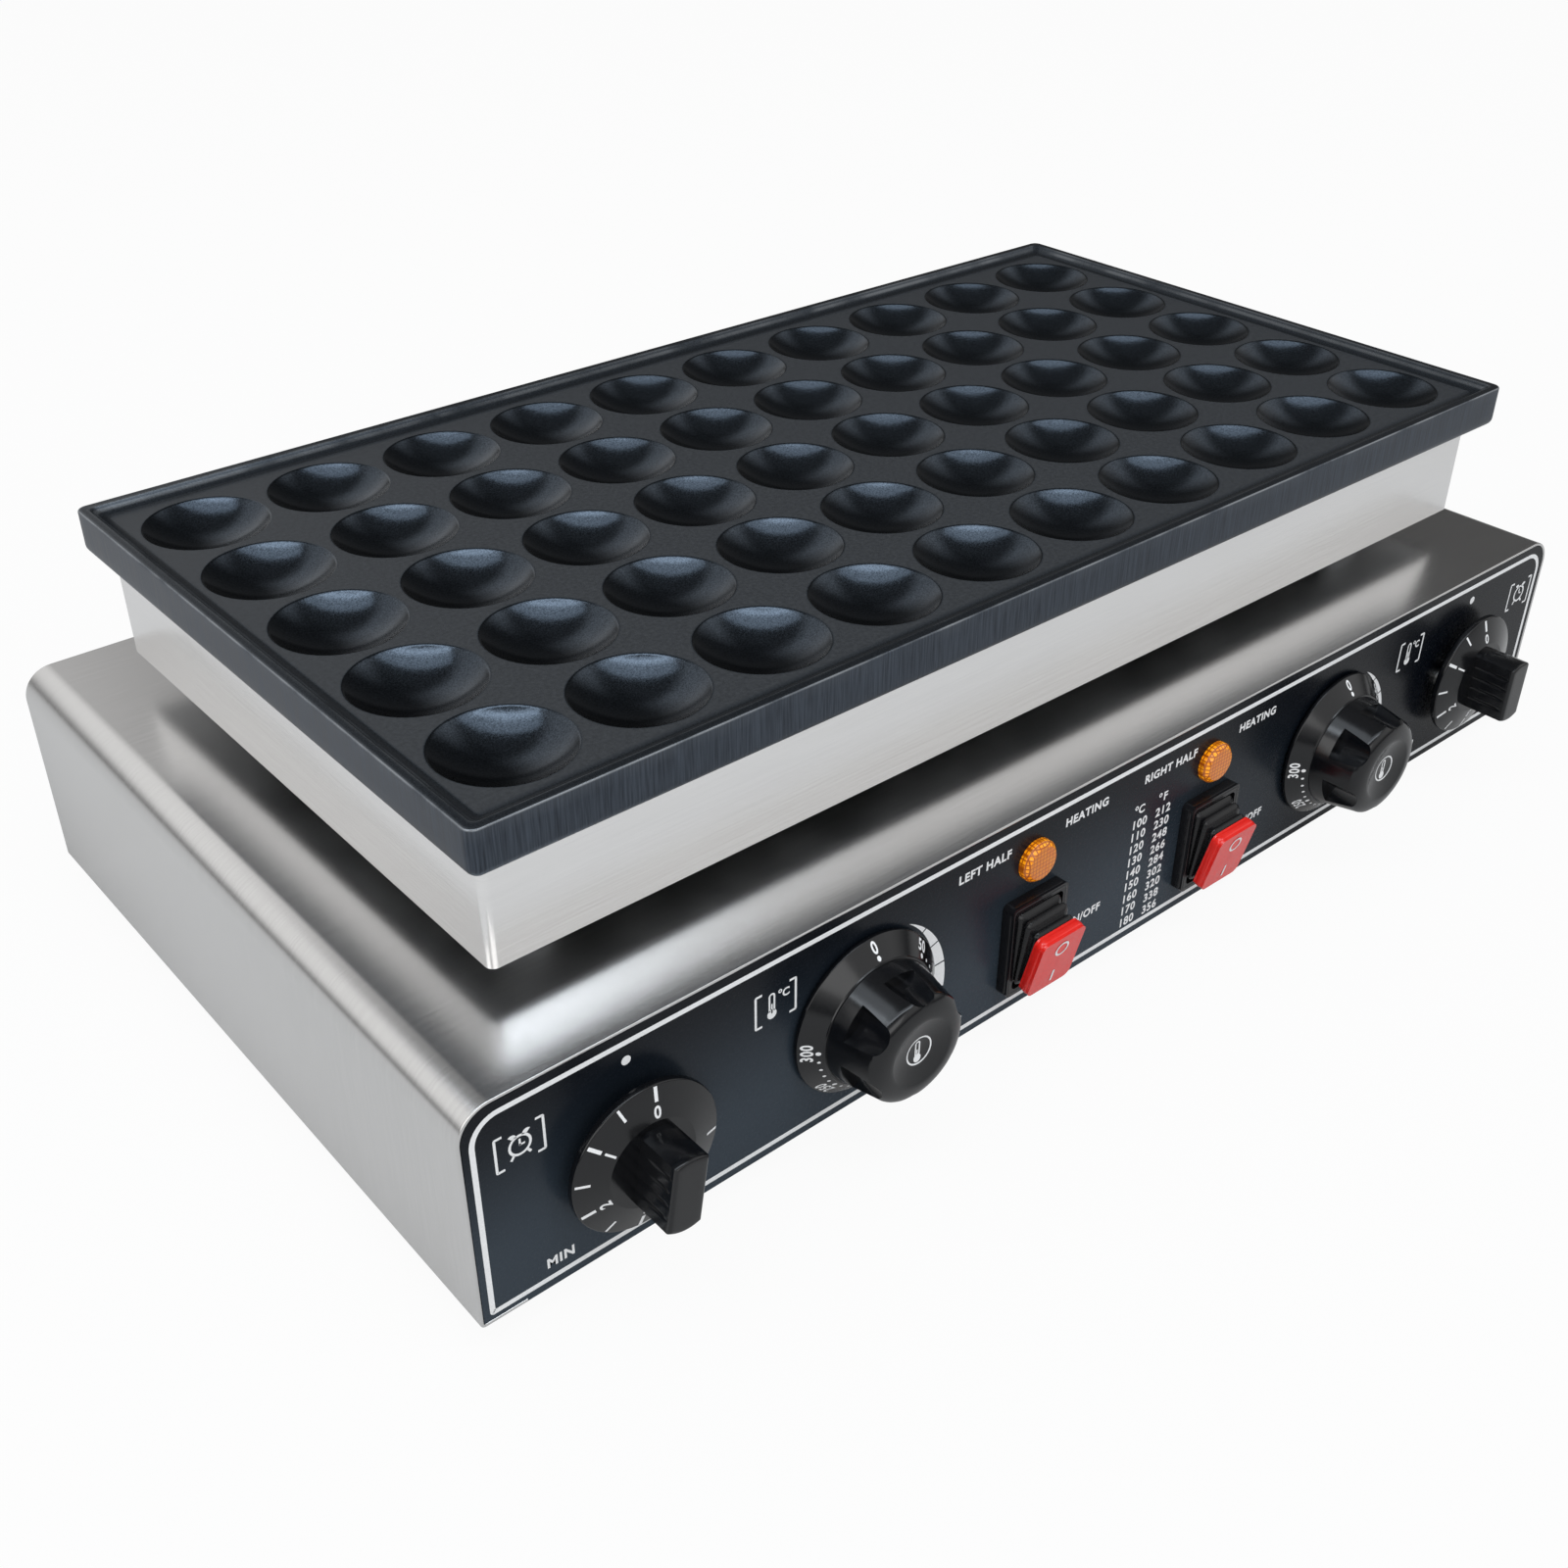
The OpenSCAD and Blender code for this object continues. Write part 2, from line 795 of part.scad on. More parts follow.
// Places a shape at each screw that holds the base plate to the casing's flanges
module at_base_screws() {
    rows = 4;
    for (side = [-1, 1], i = [0 : rows - 1])
        translate([
            side * (casing_w / 2 - (casing_flange_w + base_inset) / 2),
            (i / (rows - 1) - 0.5) * (casing_d - 2 * foot_inset),
            0,
        ])
            children();
}

module base_plate() {
    color(zinc)
        difference() {
            translate([0, 0, foot_h])
                linear_extrude(casing_t)
                    square([casing_w - 2 * base_inset, casing_d - 2 * base_inset], center = true);
            translate([0, floor_vent_y, foot_h - cut])
                for (side = [-1, 1], i = [0 : slot_count - 1])
                    translate([side * vent_x + from_middle(i, slot_count) * slot_pitch, 0, 0])
                        linear_extrude(casing_t + 2 * cut) slot_2d();
            translate([0, 0, foot_h - cut]) {
                at_feet() cylinder(d = screw_d + 2 * hole_gap, h = casing_t + 2 * cut);
                at_base_screws() cylinder(d = screw_d + 2 * hole_gap, h = casing_t + 2 * cut);
                translate([earth_x, block_y, 0])
                    cylinder(d = screw_d + 2 * thread_gap, h = casing_t + 2 * cut);
            }
        }
}

module base_screws() {
    tail = 3;
    color(zinc)
        at_base_screws() {
            translate([0, 0, foot_h - screw_head_h]) cylinder(d = screw_head_d, h = screw_head_h);
            translate([0, 0, foot_h - cut]) cylinder(d = screw_d, h = 2 * casing_t + tail + cut);
        }
}

// A rubber foot, narrower at the floor, with a deep seat for its screw
module feet() {
    floor_d = foot_d - 4;
    seat_d = screw_head_d + 3;
    seat_h = foot_h / 2;
    color(rubber_black)
        at_feet()
            difference() {
                cylinder(d1 = floor_d, d2 = foot_d, h = foot_h);
                translate([0, 0, -cut]) cylinder(d = seat_d, h = seat_h + cut);
                translate([0, 0, -cut]) cylinder(d = screw_d + 2 * thread_gap, h = foot_h + 2 * cut);
            }
}

module foot_screws() {
    tail = 6;
    seat_h = foot_h / 2;
    color(zinc)
        at_feet() {
            translate([0, 0, seat_h - screw_head_h]) cylinder(d = screw_head_d, h = screw_head_h);
            translate([0, 0, seat_h - cut])
                cylinder(d = screw_d, h = foot_h - seat_h + casing_t + tail + cut);
        }
}

module foot_nuts() {
    height = 3.2;
    width = 8;
    color(zinc)
        at_feet()
            translate([0, 0, casing_z])
                difference() {
                    cylinder(d = width, h = height, $fn = 6);
                    translate([0, 0, -cut]) cylinder(d = screw_d + 2 * thread_gap, h = height + 2 * cut);
                }
}

// The two push-on blades at the back of a control, from depth 0 inwards
module blades(drop) {
    for (s = [-1, 1])
        translate([s * blade_x, -drop, (cut - blade_l) / 2])
            cube([blade_t, blade_w, blade_l + cut], center = true);
}

// The body of a timer or thermostat behind the panel, with a collar through the panel in which
// the shaft runs
module control_body(w, h, d) {
    difference() {
        union() {
            translate([0, 0, -panel_back - d]) linear_extrude(d) round_rect(w, h, body_r);
            translate([0, 0, -panel_back - cut]) cylinder(d = collar_d, h = panel_back + collar_out + cut);
            translate([0, 0, -panel_back - d]) blades(blade_drop);
        }
        translate([0, 0, -shaft_in]) cylinder(d = shaft_d + 2 * shaft_gap, h = shaft_in + collar_out + cut);
        for (s = [-1, 1])
            translate([s * screw_spacing / 2, 0, -screw_l])
                cylinder(d = screw_d + 2 * thread_gap, h = screw_l);
    }
}

// A shaft that is round in its collar and D-shaped in the knob
module control_shaft() {
    color(zinc)
        difference() {
            translate([0, 0, -shaft_in + seat_gap])
                cylinder(d = shaft_d, h = shaft_in - seat_gap + shaft_out);
            translate([shaft_d / 2 - shaft_flat, -shaft_d, hub_start - seat_gap])
                cube([shaft_d, 2 * shaft_d, shaft_out]);
        }
}

// The D-shaped bore of a knob, which takes the shaft's end
module knob_bore() {
    intersection() {
        translate([0, 0, hub_start - cut])
            cylinder(d = shaft_d + 2 * thread_gap, h = shaft_out - hub_start + 1.5 * cut);
        translate([-shaft_d, -shaft_d, 0])
            cube([1.5 * shaft_d - shaft_flat + thread_gap, 2 * shaft_d, shaft_out + cut]);
    }
}

// The steel ring that closes the knob's hub onto the shaft
module hub_ring() {
    color(steel)
        translate([0, 0, ring_start])
            tube(hub_d + 2 * (thread_gap + ring_t), hub_d + 2 * thread_gap, ring_w);
}

module timer_body() {
    color(ceramic_white) control_body(timer_w, timer_w, timer_d);
}

module timer_knob(turn = 0) {
    cone_start = timer_gap + timer_edge;
    cone_top = cone_start + timer_cone_h;
    roof = cone_top - knob_wall;
    color(plastic_black)
        difference() {
            union() {
                translate([0, 0, hub_start]) cylinder(d = hub_d, h = timer_gap);
                translate([0, 0, timer_gap]) cylinder(d = timer_skirt_d, h = timer_edge);
                translate([0, 0, cone_start])
                    cylinder(d1 = timer_skirt_d, d2 = timer_foot_d, h = timer_cone_h);
                translate([0, 0, cone_top - cut])
                    linear_extrude(timer_out - cone_top + cut)
                        intersection() {
                            circle(d = timer_bar_l);
                            rotate(-turn) square([timer_bar_w, timer_bar_l], center = true);
                        }
            }
            difference() {
                translate([0, 0, timer_gap - cut])
                    cylinder(
                        d1 = timer_skirt_d - 2 * knob_wall, d2 = timer_foot_d - knob_wall,
                        h = roof - timer_gap + cut
                    );
                translate([0, 0, hub_start]) cylinder(d = hub_d, h = roof);
            }
            knob_bore();
        }
}

module thermostat_body() {
    color(ceramic_white) {
        control_body(thermostat_w, thermostat_h, thermostat_d);
        translate([inlet_x, inlet_z, -panel_back - thermostat_d - inlet_l])
            cylinder(d = inlet_d, h = inlet_l + cut);
    }
}

module thermostat_knob() {
    cone_start = thermostat_gap + thermostat_edge;
    grip_start = cone_start + thermostat_cone_h;
    grip_end = thermostat_out - nose_h;
    nose_d = thermostat_grip_d - 2 * grip_taper;
    dish_r = (pow(dish_d / 2, 2) + pow(dish_depth, 2)) / (2 * dish_depth);
    hollow_d = nose_d - 2 * (flute_bite + knob_wall);
    color(plastic_black)
        difference() {
            union() {
                translate([0, 0, thermostat_gap]) cylinder(d = thermostat_skirt_d, h = thermostat_edge);
                translate([0, 0, cone_start])
                    cylinder(d1 = thermostat_skirt_d, d2 = thermostat_grip_d, h = thermostat_cone_h);
                translate([0, 0, grip_start])
                    cylinder(d1 = thermostat_grip_d, d2 = nose_d, h = grip_end - grip_start);
                translate([0, 0, grip_end]) cylinder(d1 = nose_d, d2 = nose_d - 2 * nose_in, h = nose_h);
            }
            translate([0, 0, thermostat_out + dish_r - dish_depth]) sphere(r = dish_r);
            for (i = [0 : flute_count - 1])
                rotate([0, 0, 90 - flute_turn + i * 360 / flute_count])
                    translate([nose_d / 2 + flute_r - flute_bite, 0, grip_start + flute_rise])
                        cylinder(r = flute_r, h = thermostat_out);
            difference() {
                union() {
                    translate([0, 0, thermostat_gap - cut])
                        cylinder(
                            d1 = thermostat_skirt_d - 2 * knob_wall,
                            d2 = thermostat_grip_d - 2 * knob_wall,
                            h = thermostat_edge + thermostat_cone_h - knob_wall + cut
                        );
                    translate([0, 0, thermostat_gap])
                        cylinder(
                            d = hollow_d, h = thermostat_out - dish_depth - knob_wall - thermostat_gap
                        );
                }
                translate([0, 0, hub_start]) cylinder(d = hub_d, h = thermostat_out);
            }
            knob_bore();
        }
}

module timer_body_left() on_panel(-timer_x, timer_z) timer_body();
module timer_body_right() on_panel(timer_x, timer_z) timer_body();
module timer_shaft_left() on_panel(-timer_x, timer_z) control_shaft();
module timer_shaft_right() on_panel(timer_x, timer_z) control_shaft();
module timer_knob_left() on_panel(-timer_x, timer_z) timer_knob(timer_left_turn);
module timer_knob_right() on_panel(timer_x, timer_z) timer_knob();
module timer_spring_left() on_panel(-timer_x, timer_z) hub_ring();
module timer_spring_right() on_panel(timer_x, timer_z) hub_ring();
module thermostat_body_left() on_panel(-thermostat_x, thermostat_z) thermostat_body();
module thermostat_body_right() on_panel(thermostat_x, thermostat_z) thermostat_body();
module thermostat_shaft_left() on_panel(-thermostat_x, thermostat_z) control_shaft();
module thermostat_shaft_right() on_panel(thermostat_x, thermostat_z) control_shaft();
module thermostat_knob_left() on_panel(-thermostat_x, thermostat_z) thermostat_knob();
module thermostat_knob_right() on_panel(thermostat_x, thermostat_z) thermostat_knob();
module thermostat_spring_left() on_panel(-thermostat_x, thermostat_z) hub_ring();
module thermostat_spring_right() on_panel(thermostat_x, thermostat_z) hub_ring();

module control_screws() {
    color(zinc)
        for (side = [-1, 1], at = [[timer_x, timer_z], [thermostat_x, thermostat_z]], s = [-1, 1])
            on_panel(side * at[0], at[1])
                translate([s * screw_spacing / 2, 0, 0]) {
                    cylinder(d = screw_head_d, h = screw_head_h);
                    translate([0, 0, -screw_l + seat_gap]) cylinder(d = screw_d, h = screw_l);
                }
}

// The frame in front of the panel and the housing behind it, open in front for boot and rocker
module switch_housing() {
    color(plastic_black)
        difference() {
            union() {
                linear_extrude(switch_frame_out) round_rect(switch_w, switch_h, switch_edge_r);
                translate([0, 0, -housing_d])
                    linear_extrude(housing_d + cut) square([housing_w, housing_h], center = true);
                translate([0, 0, -housing_d]) blades(0);
            }
            translate([0, 0, boot_seat])
                linear_extrude(switch_frame_out)
                    round_rect(switch_w - 2 * switch_wall, switch_h - 2 * switch_wall, switch_edge_r);
            translate([0, 0, boot_seat - cavity_d])
                linear_extrude(cavity_d + cut) square([cavity_w, cavity_h], center = true);
            translate([-cavity_w / 2 - pivot_bite, 0, pivot_depth])
                rotate([0, 90, 0])
                    cylinder(d = pivot_d + 2 * shaft_gap, h = cavity_w + 2 * pivot_bite);
        }
}

// Turns a shape about the rocker's pivot, given outwards from the pivot
module about_pivot(angle) {
    translate([0, 0, pivot_depth])
        rotate([angle, 0, 0])
            children();
}

// The rubber boot: stepped tiers that lean further with each step up to the rocker's cap
module switch_boot() {
    foot_w = switch_w - 2 * (switch_wall + seat_gap);
    foot_l = switch_h - 2 * (switch_wall + seat_gap);
    rise = boot_seat - pivot_depth + seat_gap;
    color(rubber_black)
        difference() {
            intersection() {
                for (i = [0 : boot_tiers - 1]) {
                    share = i / (boot_tiers - 1);
                    w = foot_w + share * (rocker_w - foot_w) - i * boot_step / 2;
                    l = foot_l + share * (rocker_h - foot_l) - i * boot_step / 2;
                    bottom = rise + i * tier_rise - (i > 0 ? 1.5 * cut : 0);
                    top = rise + (i + 1) * tier_rise - 2 * seat_gap;
                    about_pivot(share * rocker_tilt)
                        translate([0, 0, bottom])
                            linear_extrude(top - bottom) round_rect(w, l, tier_lip_r);
                }
                translate([0, 0, boot_seat + seat_gap])
                    linear_extrude(rocker_reach) square([foot_w, foot_l], center = true);
            }
            about_pivot(rocker_tilt)
                linear_extrude(rocker_reach)
                    square([rocker_neck_w, rocker_neck_h] + 2 * boot_neck_gap * [1, 1], center = true);
            about_pivot(0)
                linear_extrude(boot_seat - pivot_depth + rocker_heel_r)
                    square([rocker_heel_w, rocker_heel_h] + boot_neck_gap * [1, 2], center = true);
        }
}

// The rocker: a cap on a neck, a rounded heel in the housing and two pivot pins
module switch_rocker() {
    color(rocker_red)
        about_pivot(rocker_tilt) {
            translate([0, 0, rocker_reach - cap_t])
                linear_extrude(cap_t) round_rect(rocker_w, rocker_h, cap_r);
            linear_extrude(rocker_reach - cap_t + cut)
                square([rocker_neck_w, rocker_neck_h], center = true);
            rotate([0, 90, 0]) cylinder(r = rocker_heel_r, h = rocker_heel_w, center = true);
            rotate([0, 90, 0])
                cylinder(d = pivot_d, h = cavity_w + 2 * (pivot_bite - seat_gap), center = true);
        }
}

module switch_housing_left() on_panel(-switch_x, switch_z) switch_housing();
module switch_housing_right() on_panel(switch_x, switch_z) switch_housing();
module switch_boot_left() on_panel(-switch_x, switch_z) switch_boot();
module switch_boot_right() on_panel(switch_x, switch_z) switch_boot();
module switch_rocker_left() on_panel(-switch_x, switch_z) switch_rocker();
module switch_rocker_right() on_panel(switch_x, switch_z) switch_rocker();

// A hollow lens cap over the flange of the lamp body
module lamp_lens() {
    color(lamp_amber)
        difference() {
            union() {
                cylinder(d = lamp_d, h = lens_edge);
                translate([0, 0, lens_edge])
                    cylinder(d1 = lamp_d, d2 = lamp_d - 2 * lens_bevel, h = lamp_out - lens_edge);
            }
            translate([0, 0, -cut])
                cylinder(d = lamp_flange_d + 2 * thread_gap, h = lamp_flange_t + seat_gap + cut);
        }
}

module lamp_lens_left() on_panel(-switch_x, lamp_z) lamp_lens();
module lamp_lens_right() on_panel(switch_x, lamp_z) lamp_lens();

module lamp_bodies() {
    color(ceramic_white)
        for (side = [-1, 1])
            on_panel(side * switch_x, lamp_z) {
                cylinder(d = lamp_flange_d, h = lamp_flange_t);
                translate([0, 0, -lamp_body_l])
                    cylinder(d = lamp_stem_d, h = lamp_body_l + lamp_flange_t / 2);
                for (s = [-1, 1])
                    translate([s * lamp_pin_x, 0, (cut - lamp_pin_l) / 2 - lamp_body_l])
                        cube([blade_t, lamp_pin_w, lamp_pin_l + cut], center = true);
            }
}

module lamp_nuts() {
    color(steel)
        for (side = [-1, 1])
            on_panel(side * switch_x, lamp_z)
                translate([0, 0, -panel_back - lamp_nut_t])
                    tube(lamp_nut_d, lamp_stem_d + 2 * thread_gap, lamp_nut_t);
}

// The terminal block on the base plate, with a slot and a screw well for each pole
module terminal_block() {
    color(ceramic_white)
        translate([0, block_y, casing_z])
            difference() {
                translate([-block_l / 2, -block_w / 2, 0]) cube([block_l, block_w, block_h]);
                for (i = [0 : block_poles - 1])
                    translate([from_middle(i, block_poles) * block_pole_pitch, 0, 0]) {
                        for (s = [-1, 1])
                            translate([-block_slot_w / 2, s * block_w / 2 - block_slot_d, block_h / 3])
                                cube([block_slot_w, 2 * block_slot_d, block_h / 3]);
                        translate([0, 0, block_h - block_slot_d])
                            cylinder(d = block_slot_w - 1, h = block_slot_d + cut);
                    }
            }
}

module earth_stud() {
    head_h = 3;
    color(brass_yellow)
        translate([earth_x, block_y, 0]) {
            translate([0, 0, casing_z]) cylinder(d = nut_d, h = head_h, $fn = 6);
            translate([0, 0, foot_h - 1]) cylinder(d = screw_d, h = earth_h);
        }
}

// The gland: a hexagon outside and a threaded neck through the rear panel
module cable_gland() {
    neck_out = gland_out - gland_mouth_l - 2 * seat_gap;
    color(plastic_black)
        on_back(0, gland_z)
            difference() {
                union() {
                    cylinder(d = gland_hex_d, h = gland_hex_l, $fn = 6);
                    translate([0, 0, -panel_t - gland_inside_l])
                        cylinder(d = gland_thread_d, h = panel_t + gland_inside_l + cut);
                    cylinder(d = gland_thread_d, h = neck_out);
                }
                translate([0, 0, -panel_t - gland_inside_l - cut])
                    cylinder(d = gland_thread_d - 2 * gland_wall, h = panel_t + gland_inside_l + gland_out);
            }
}

module gland_cap() {
    skirt = gland_out - gland_hex_l - gland_mouth_l;
    color(plastic_black)
        on_back(0, gland_z)
            translate([0, 0, gland_hex_l + seat_gap])
                difference() {
                    union() {
                        cylinder(d = gland_cap_d, h = skirt - seat_gap);
                        translate([0, 0, skirt - seat_gap])
                            cylinder(d1 = gland_cap_d, d2 = gland_cap_tip_d, h = gland_mouth_l);
                    }
                    translate([0, 0, -cut])
                        cylinder(d = gland_thread_d + 2 * thread_gap, h = skirt - seat_gap + cut);
                    cylinder(d = cable_d + 2 * hole_gap, h = gland_out);
                }
}

module gland_seal() {
    start = gland_hex_l;
    end = gland_out - gland_mouth_l - 2 * seat_gap;
    color(rubber_black)
        on_back(0, gland_z)
            translate([0, 0, start])
                tube(gland_thread_d - 2 * gland_wall - 2 * thread_gap, cable_d, end - start);
}

module gland_nut() {
    color(plastic_black)
        on_back(0, gland_z)
            translate([0, 0, -panel_t - gland_nut_t])
                difference() {
                    cylinder(d = gland_hex_d, h = gland_nut_t, $fn = 6);
                    translate([0, 0, -cut])
                        cylinder(d = gland_thread_d + 2 * thread_gap, h = gland_nut_t + 2 * cut);
                }
}

// Round tubes along smooth routes, for wires and capillaries
wire_sides = 8;
route_steps = 4;

function unit(v) = v / norm(v);

// A point on the smooth curve through four neighbours, at share t from the second to the third
function curve_point(a, b, c, d, t) =
    0.5 * (2 * b + (c - a) * t + (2 * a - 5 * b + 4 * c - d) * t * t + (3 * b - a - 3 * c + d) * t * t * t);

function smooth_route(p) = [
    for (i = [0 : len(p) - 2], k = [0 : route_steps - 1])
        curve_point(p[max(i - 1, 0)], p[i], p[i + 1], p[min(i + 2, len(p) - 1)], k / route_steps),
    p[len(p) - 1],
];

function heading(p, i) = unit(p[min(i + 1, len(p) - 1)] - p[max(i - 1, 0)]);

function across(v, t) = unit(v - (v * t) * t);

// One sideways direction for each point, carried along the route without twisting
function sideways(p) = [
    for (i = 0, v = across([0.3, 0.5, 0.8], heading(p, 0)); i < len(p);
        i = i + 1, v = i < len(p) ? across(v, heading(p, i)) : v)
        v
];

module wire(points, d) {
    p = smooth_route(points);
    side = sideways(p);
    n = wire_sides;
    rings = [
        for (i = [0 : len(p) - 1], k = [0 : n - 1])
            p[i] + d / 2 * (cos(k * 360 / n) * side[i] + sin(k * 360 / n) * cross(heading(p, i), side[i]))
    ];
    walls = [
        for (i = [0 : len(p) - 2], k = [0 : n - 1], half = [0, 1])
            half == 0
                ? [i * n + k, (i + 1) * n + k, i * n + (k + 1) % n]
                : [i * n + (k + 1) % n, (i + 1) * n + k, (i + 1) * n + (k + 1) % n]
    ];
    last = (len(p) - 1) * n;
    ends = [
        for (k = [1 : n - 2], half = [0, 1])
            half == 0 ? [0, k, k + 1] : [last, last + k + 1, last + k]
    ];
    polyhedron(points = rings, faces = concat(walls, ends));
}

// Where the routes start and end on the right-hand side
thermostat_back = face_y + panel_back + thermostat_d;
timer_back = face_y + panel_back + timer_d;
switch_back = face_y + housing_d;
wire_d = 3;
lamp_wire_d = 2;
wire_stop = 0.3;
in_bush = 4;
bush_near = 16;
bush_lip = 5;
lead_in = 8;
run_z = (reflector_z + reflector_t + bar_z) / 2;
bush_foot = casing_top - bush_in - 6;

// A bulb under the plate, and its capillary through the wire bush to the thermostat
module thermostat_bulb(side) {
    inlet = [
        thermostat_x + inlet_x,
        thermostat_back + inlet_l + wire_stop,
        casing_z + thermostat_z + inlet_z,
    ];
    tail_y = bulb_l / 2 + bulb_tip;
    loop_y = tail_y + 16;
    color(copper_red)
        mirror([side < 0 ? 1 : 0, 0, 0]) {
            translate([bulb_x, -bulb_l / 2, element_z])
                rotate([-90, 0, 0]) {
                    cylinder(d = element_d, h = bulb_l);
                    translate([0, 0, bulb_l]) cylinder(d1 = element_d, d2 = capillary_d + 1, h = bulb_tip);
                }
            wire([
                [bulb_x, tail_y - 2, element_z],
                [bulb_x, tail_y + 6, element_z],
                [bulb_x, loop_y, (element_z + run_z) / 2],
                [bulb_x, tail_y, run_z],
                [bulb_x, tail_y / 2, run_z],
                [bulb_x, bush_near, run_z],
                [bulb_x, bush_lip, run_z - 1],
                [bulb_x, in_bush, reflector_z - lead_in],
                [bulb_x, in_bush, head_z],
                [bulb_x, in_bush, bush_foot],
                [bulb_x, -20, casing_top - 30],
                [inlet[0], inlet[1] + 40, inlet[2]],
                [inlet[0], inlet[1] + 20, inlet[2]],
                inlet,
            ], capillary_d);
        }
}

module thermostat_bulb_left() thermostat_bulb(-1);
module thermostat_bulb_right() thermostat_bulb(1);

// Where the wire of an element's leg starts, just in front of its pin
function pin_end(leg) = [
    leg_x(leg),
    -leg_half - cold_end_l - pin_l - wire_stop,
    element_z,
];

// Where the wire of a control's blade ends, just behind the blade
function blade_end(x, z, back, s) = [x + s * blade_x, back + blade_l + wire_stop, casing_z + z - blade_drop];

// The part of an element's wire from its pin to below the bush, at one side of the bush
function element_lead(from, s) = [
    from,
    from + [0, -3, 0],
    from + [-s * 6, -6, -4],
    [from[0] - s * 16, from[1] + lead_in, run_z],
    [bulb_x + s * 24, -40, run_z],
    [bulb_x + s * in_bush, -bush_near, run_z],
    [bulb_x + s * in_bush, -bush_lip, run_z - 1],
    [bulb_x + s * in_bush, -in_bush / 2, reflector_z - lead_in],
    [bulb_x + s * in_bush, -in_bush / 2, head_z],
    [bulb_x + s * in_bush, -in_bush / 2, bush_foot],
];

// The last stretch of a wire to a pole of the terminal block, from the front
function pole_lead(pole) =
    let (
        x = (pole + 0.5) * block_pole_pitch,
        y = block_y - block_w / 2 + wire_stop,
        z = casing_z + block_h / 2
    )
    [[x + 4 * pole, y - 32, z], [x, y - 10, z], [x, y, z]];

// The wires of one side, in the order of the current: block to switch, switch to timer, timer to
// thermostat, thermostat to element, element to block, and the lamp between switch and block
module side_wiring() {
    low = casing_z + 14;
    front_run = thermostat_back + 34;
    lead = [0, lead_in, 0];
    warm = blade_end(thermostat_x, thermostat_z, thermostat_back, -1);
    live = blade_end(thermostat_x, thermostat_z, thermostat_back, 1);
    timed = blade_end(timer_x, timer_z, timer_back, -1);
    wound = blade_end(timer_x, timer_z, timer_back, 1);
    switched = blade_end(switch_x, switch_z + blade_drop, switch_back, 1);
    fed = blade_end(switch_x, switch_z + blade_drop, switch_back, -1);
    blade_side = switched + [blade_t / 2 + wire_stop, -blade_l / 2, 0];
    lamp_y = face_y + lamp_body_l + lamp_pin_l + wire_stop;
    lamp_live = [switch_x + lamp_pin_x, lamp_y, casing_z + lamp_z];
    lamp_return = [switch_x - lamp_pin_x, lamp_y, casing_z + lamp_z];
    wire(concat([fed, fed + lead, [fed[0] - 6, 0, low]], pole_lead(0)), wire_d);
    wire([
        wound,
        wound + lead,
        [wound[0], front_run + 10, low + 2],
        [wound[0] - 30, front_run + 24, low],
        [switched[0] + 40, front_run + 24, low],
        [switched[0], switched[1] + 26, low + 6],
        switched + lead,
        switched,
    ], wire_d);
    wire([
        live,
        live + lead,
        [live[0] + 14, front_run, live[2]],
        [timed[0] - 14, front_run, timed[2]],
        timed + lead,
        timed,
    ], wire_d);
    wire(concat(
        element_lead(pin_end(0), -1),
        [[bulb_x - in_bush, -26, bush_foot - 28], warm + 3 * lead, warm + lead, warm]
    ), wire_d);
    wire(concat(
        element_lead(pin_end(element_legs - 1), 1),
        [[bulb_x, 20, bush_foot - 40]],
        pole_lead(2)
    ), wire_d);
    wire([
        lamp_live,
        lamp_live + lead,
        [lamp_live[0] + 18, lamp_y + 6, (lamp_live[2] + switched[2]) / 2],
        blade_side + [lead_in, 0, 2],
        blade_side,
    ], lamp_wire_d);
    wire(concat(
        [lamp_return, lamp_return + lead, [switch_x, -40, casing_z + lamp_z]],
        pole_lead(1)
    ), lamp_wire_d);
}

module wiring() {
    color(wire_white)
        for (side = [0, 1])
            mirror([side, 0, 0])
                side_wiring();
}

cooking_plate();
head_casing();
head_floor();
reflector();
insulation_slab();
heating_element_left();
heating_element_right();
element_beads();
clamp_bars();
clamp_studs();
clamp_nuts();
tie_studs();
tie_nuts();
spacers();
wire_bushes();
base_casing();
front_panel();
panel_film();
rear_panel();
base_plate();
base_screws();
feet();
foot_screws();
foot_nuts();
timer_body_left();
timer_body_right();
timer_shaft_left();
timer_shaft_right();
timer_knob_left();
timer_knob_right();
timer_spring_left();
timer_spring_right();
thermostat_body_left();
thermostat_body_right();
thermostat_shaft_left();
thermostat_shaft_right();
thermostat_knob_left();
thermostat_knob_right();
thermostat_spring_left();
thermostat_spring_right();
thermostat_bulb_left();
thermostat_bulb_right();
control_screws();
switch_housing_left();
switch_housing_right();
switch_boot_left();
switch_boot_right();
switch_rocker_left();
switch_rocker_right();
lamp_lens_left();
lamp_lens_right();
lamp_bodies();
lamp_nuts();
terminal_block();
earth_stud();
cable_gland();
gland_cap();
gland_seal();
gland_nut();
wiring();
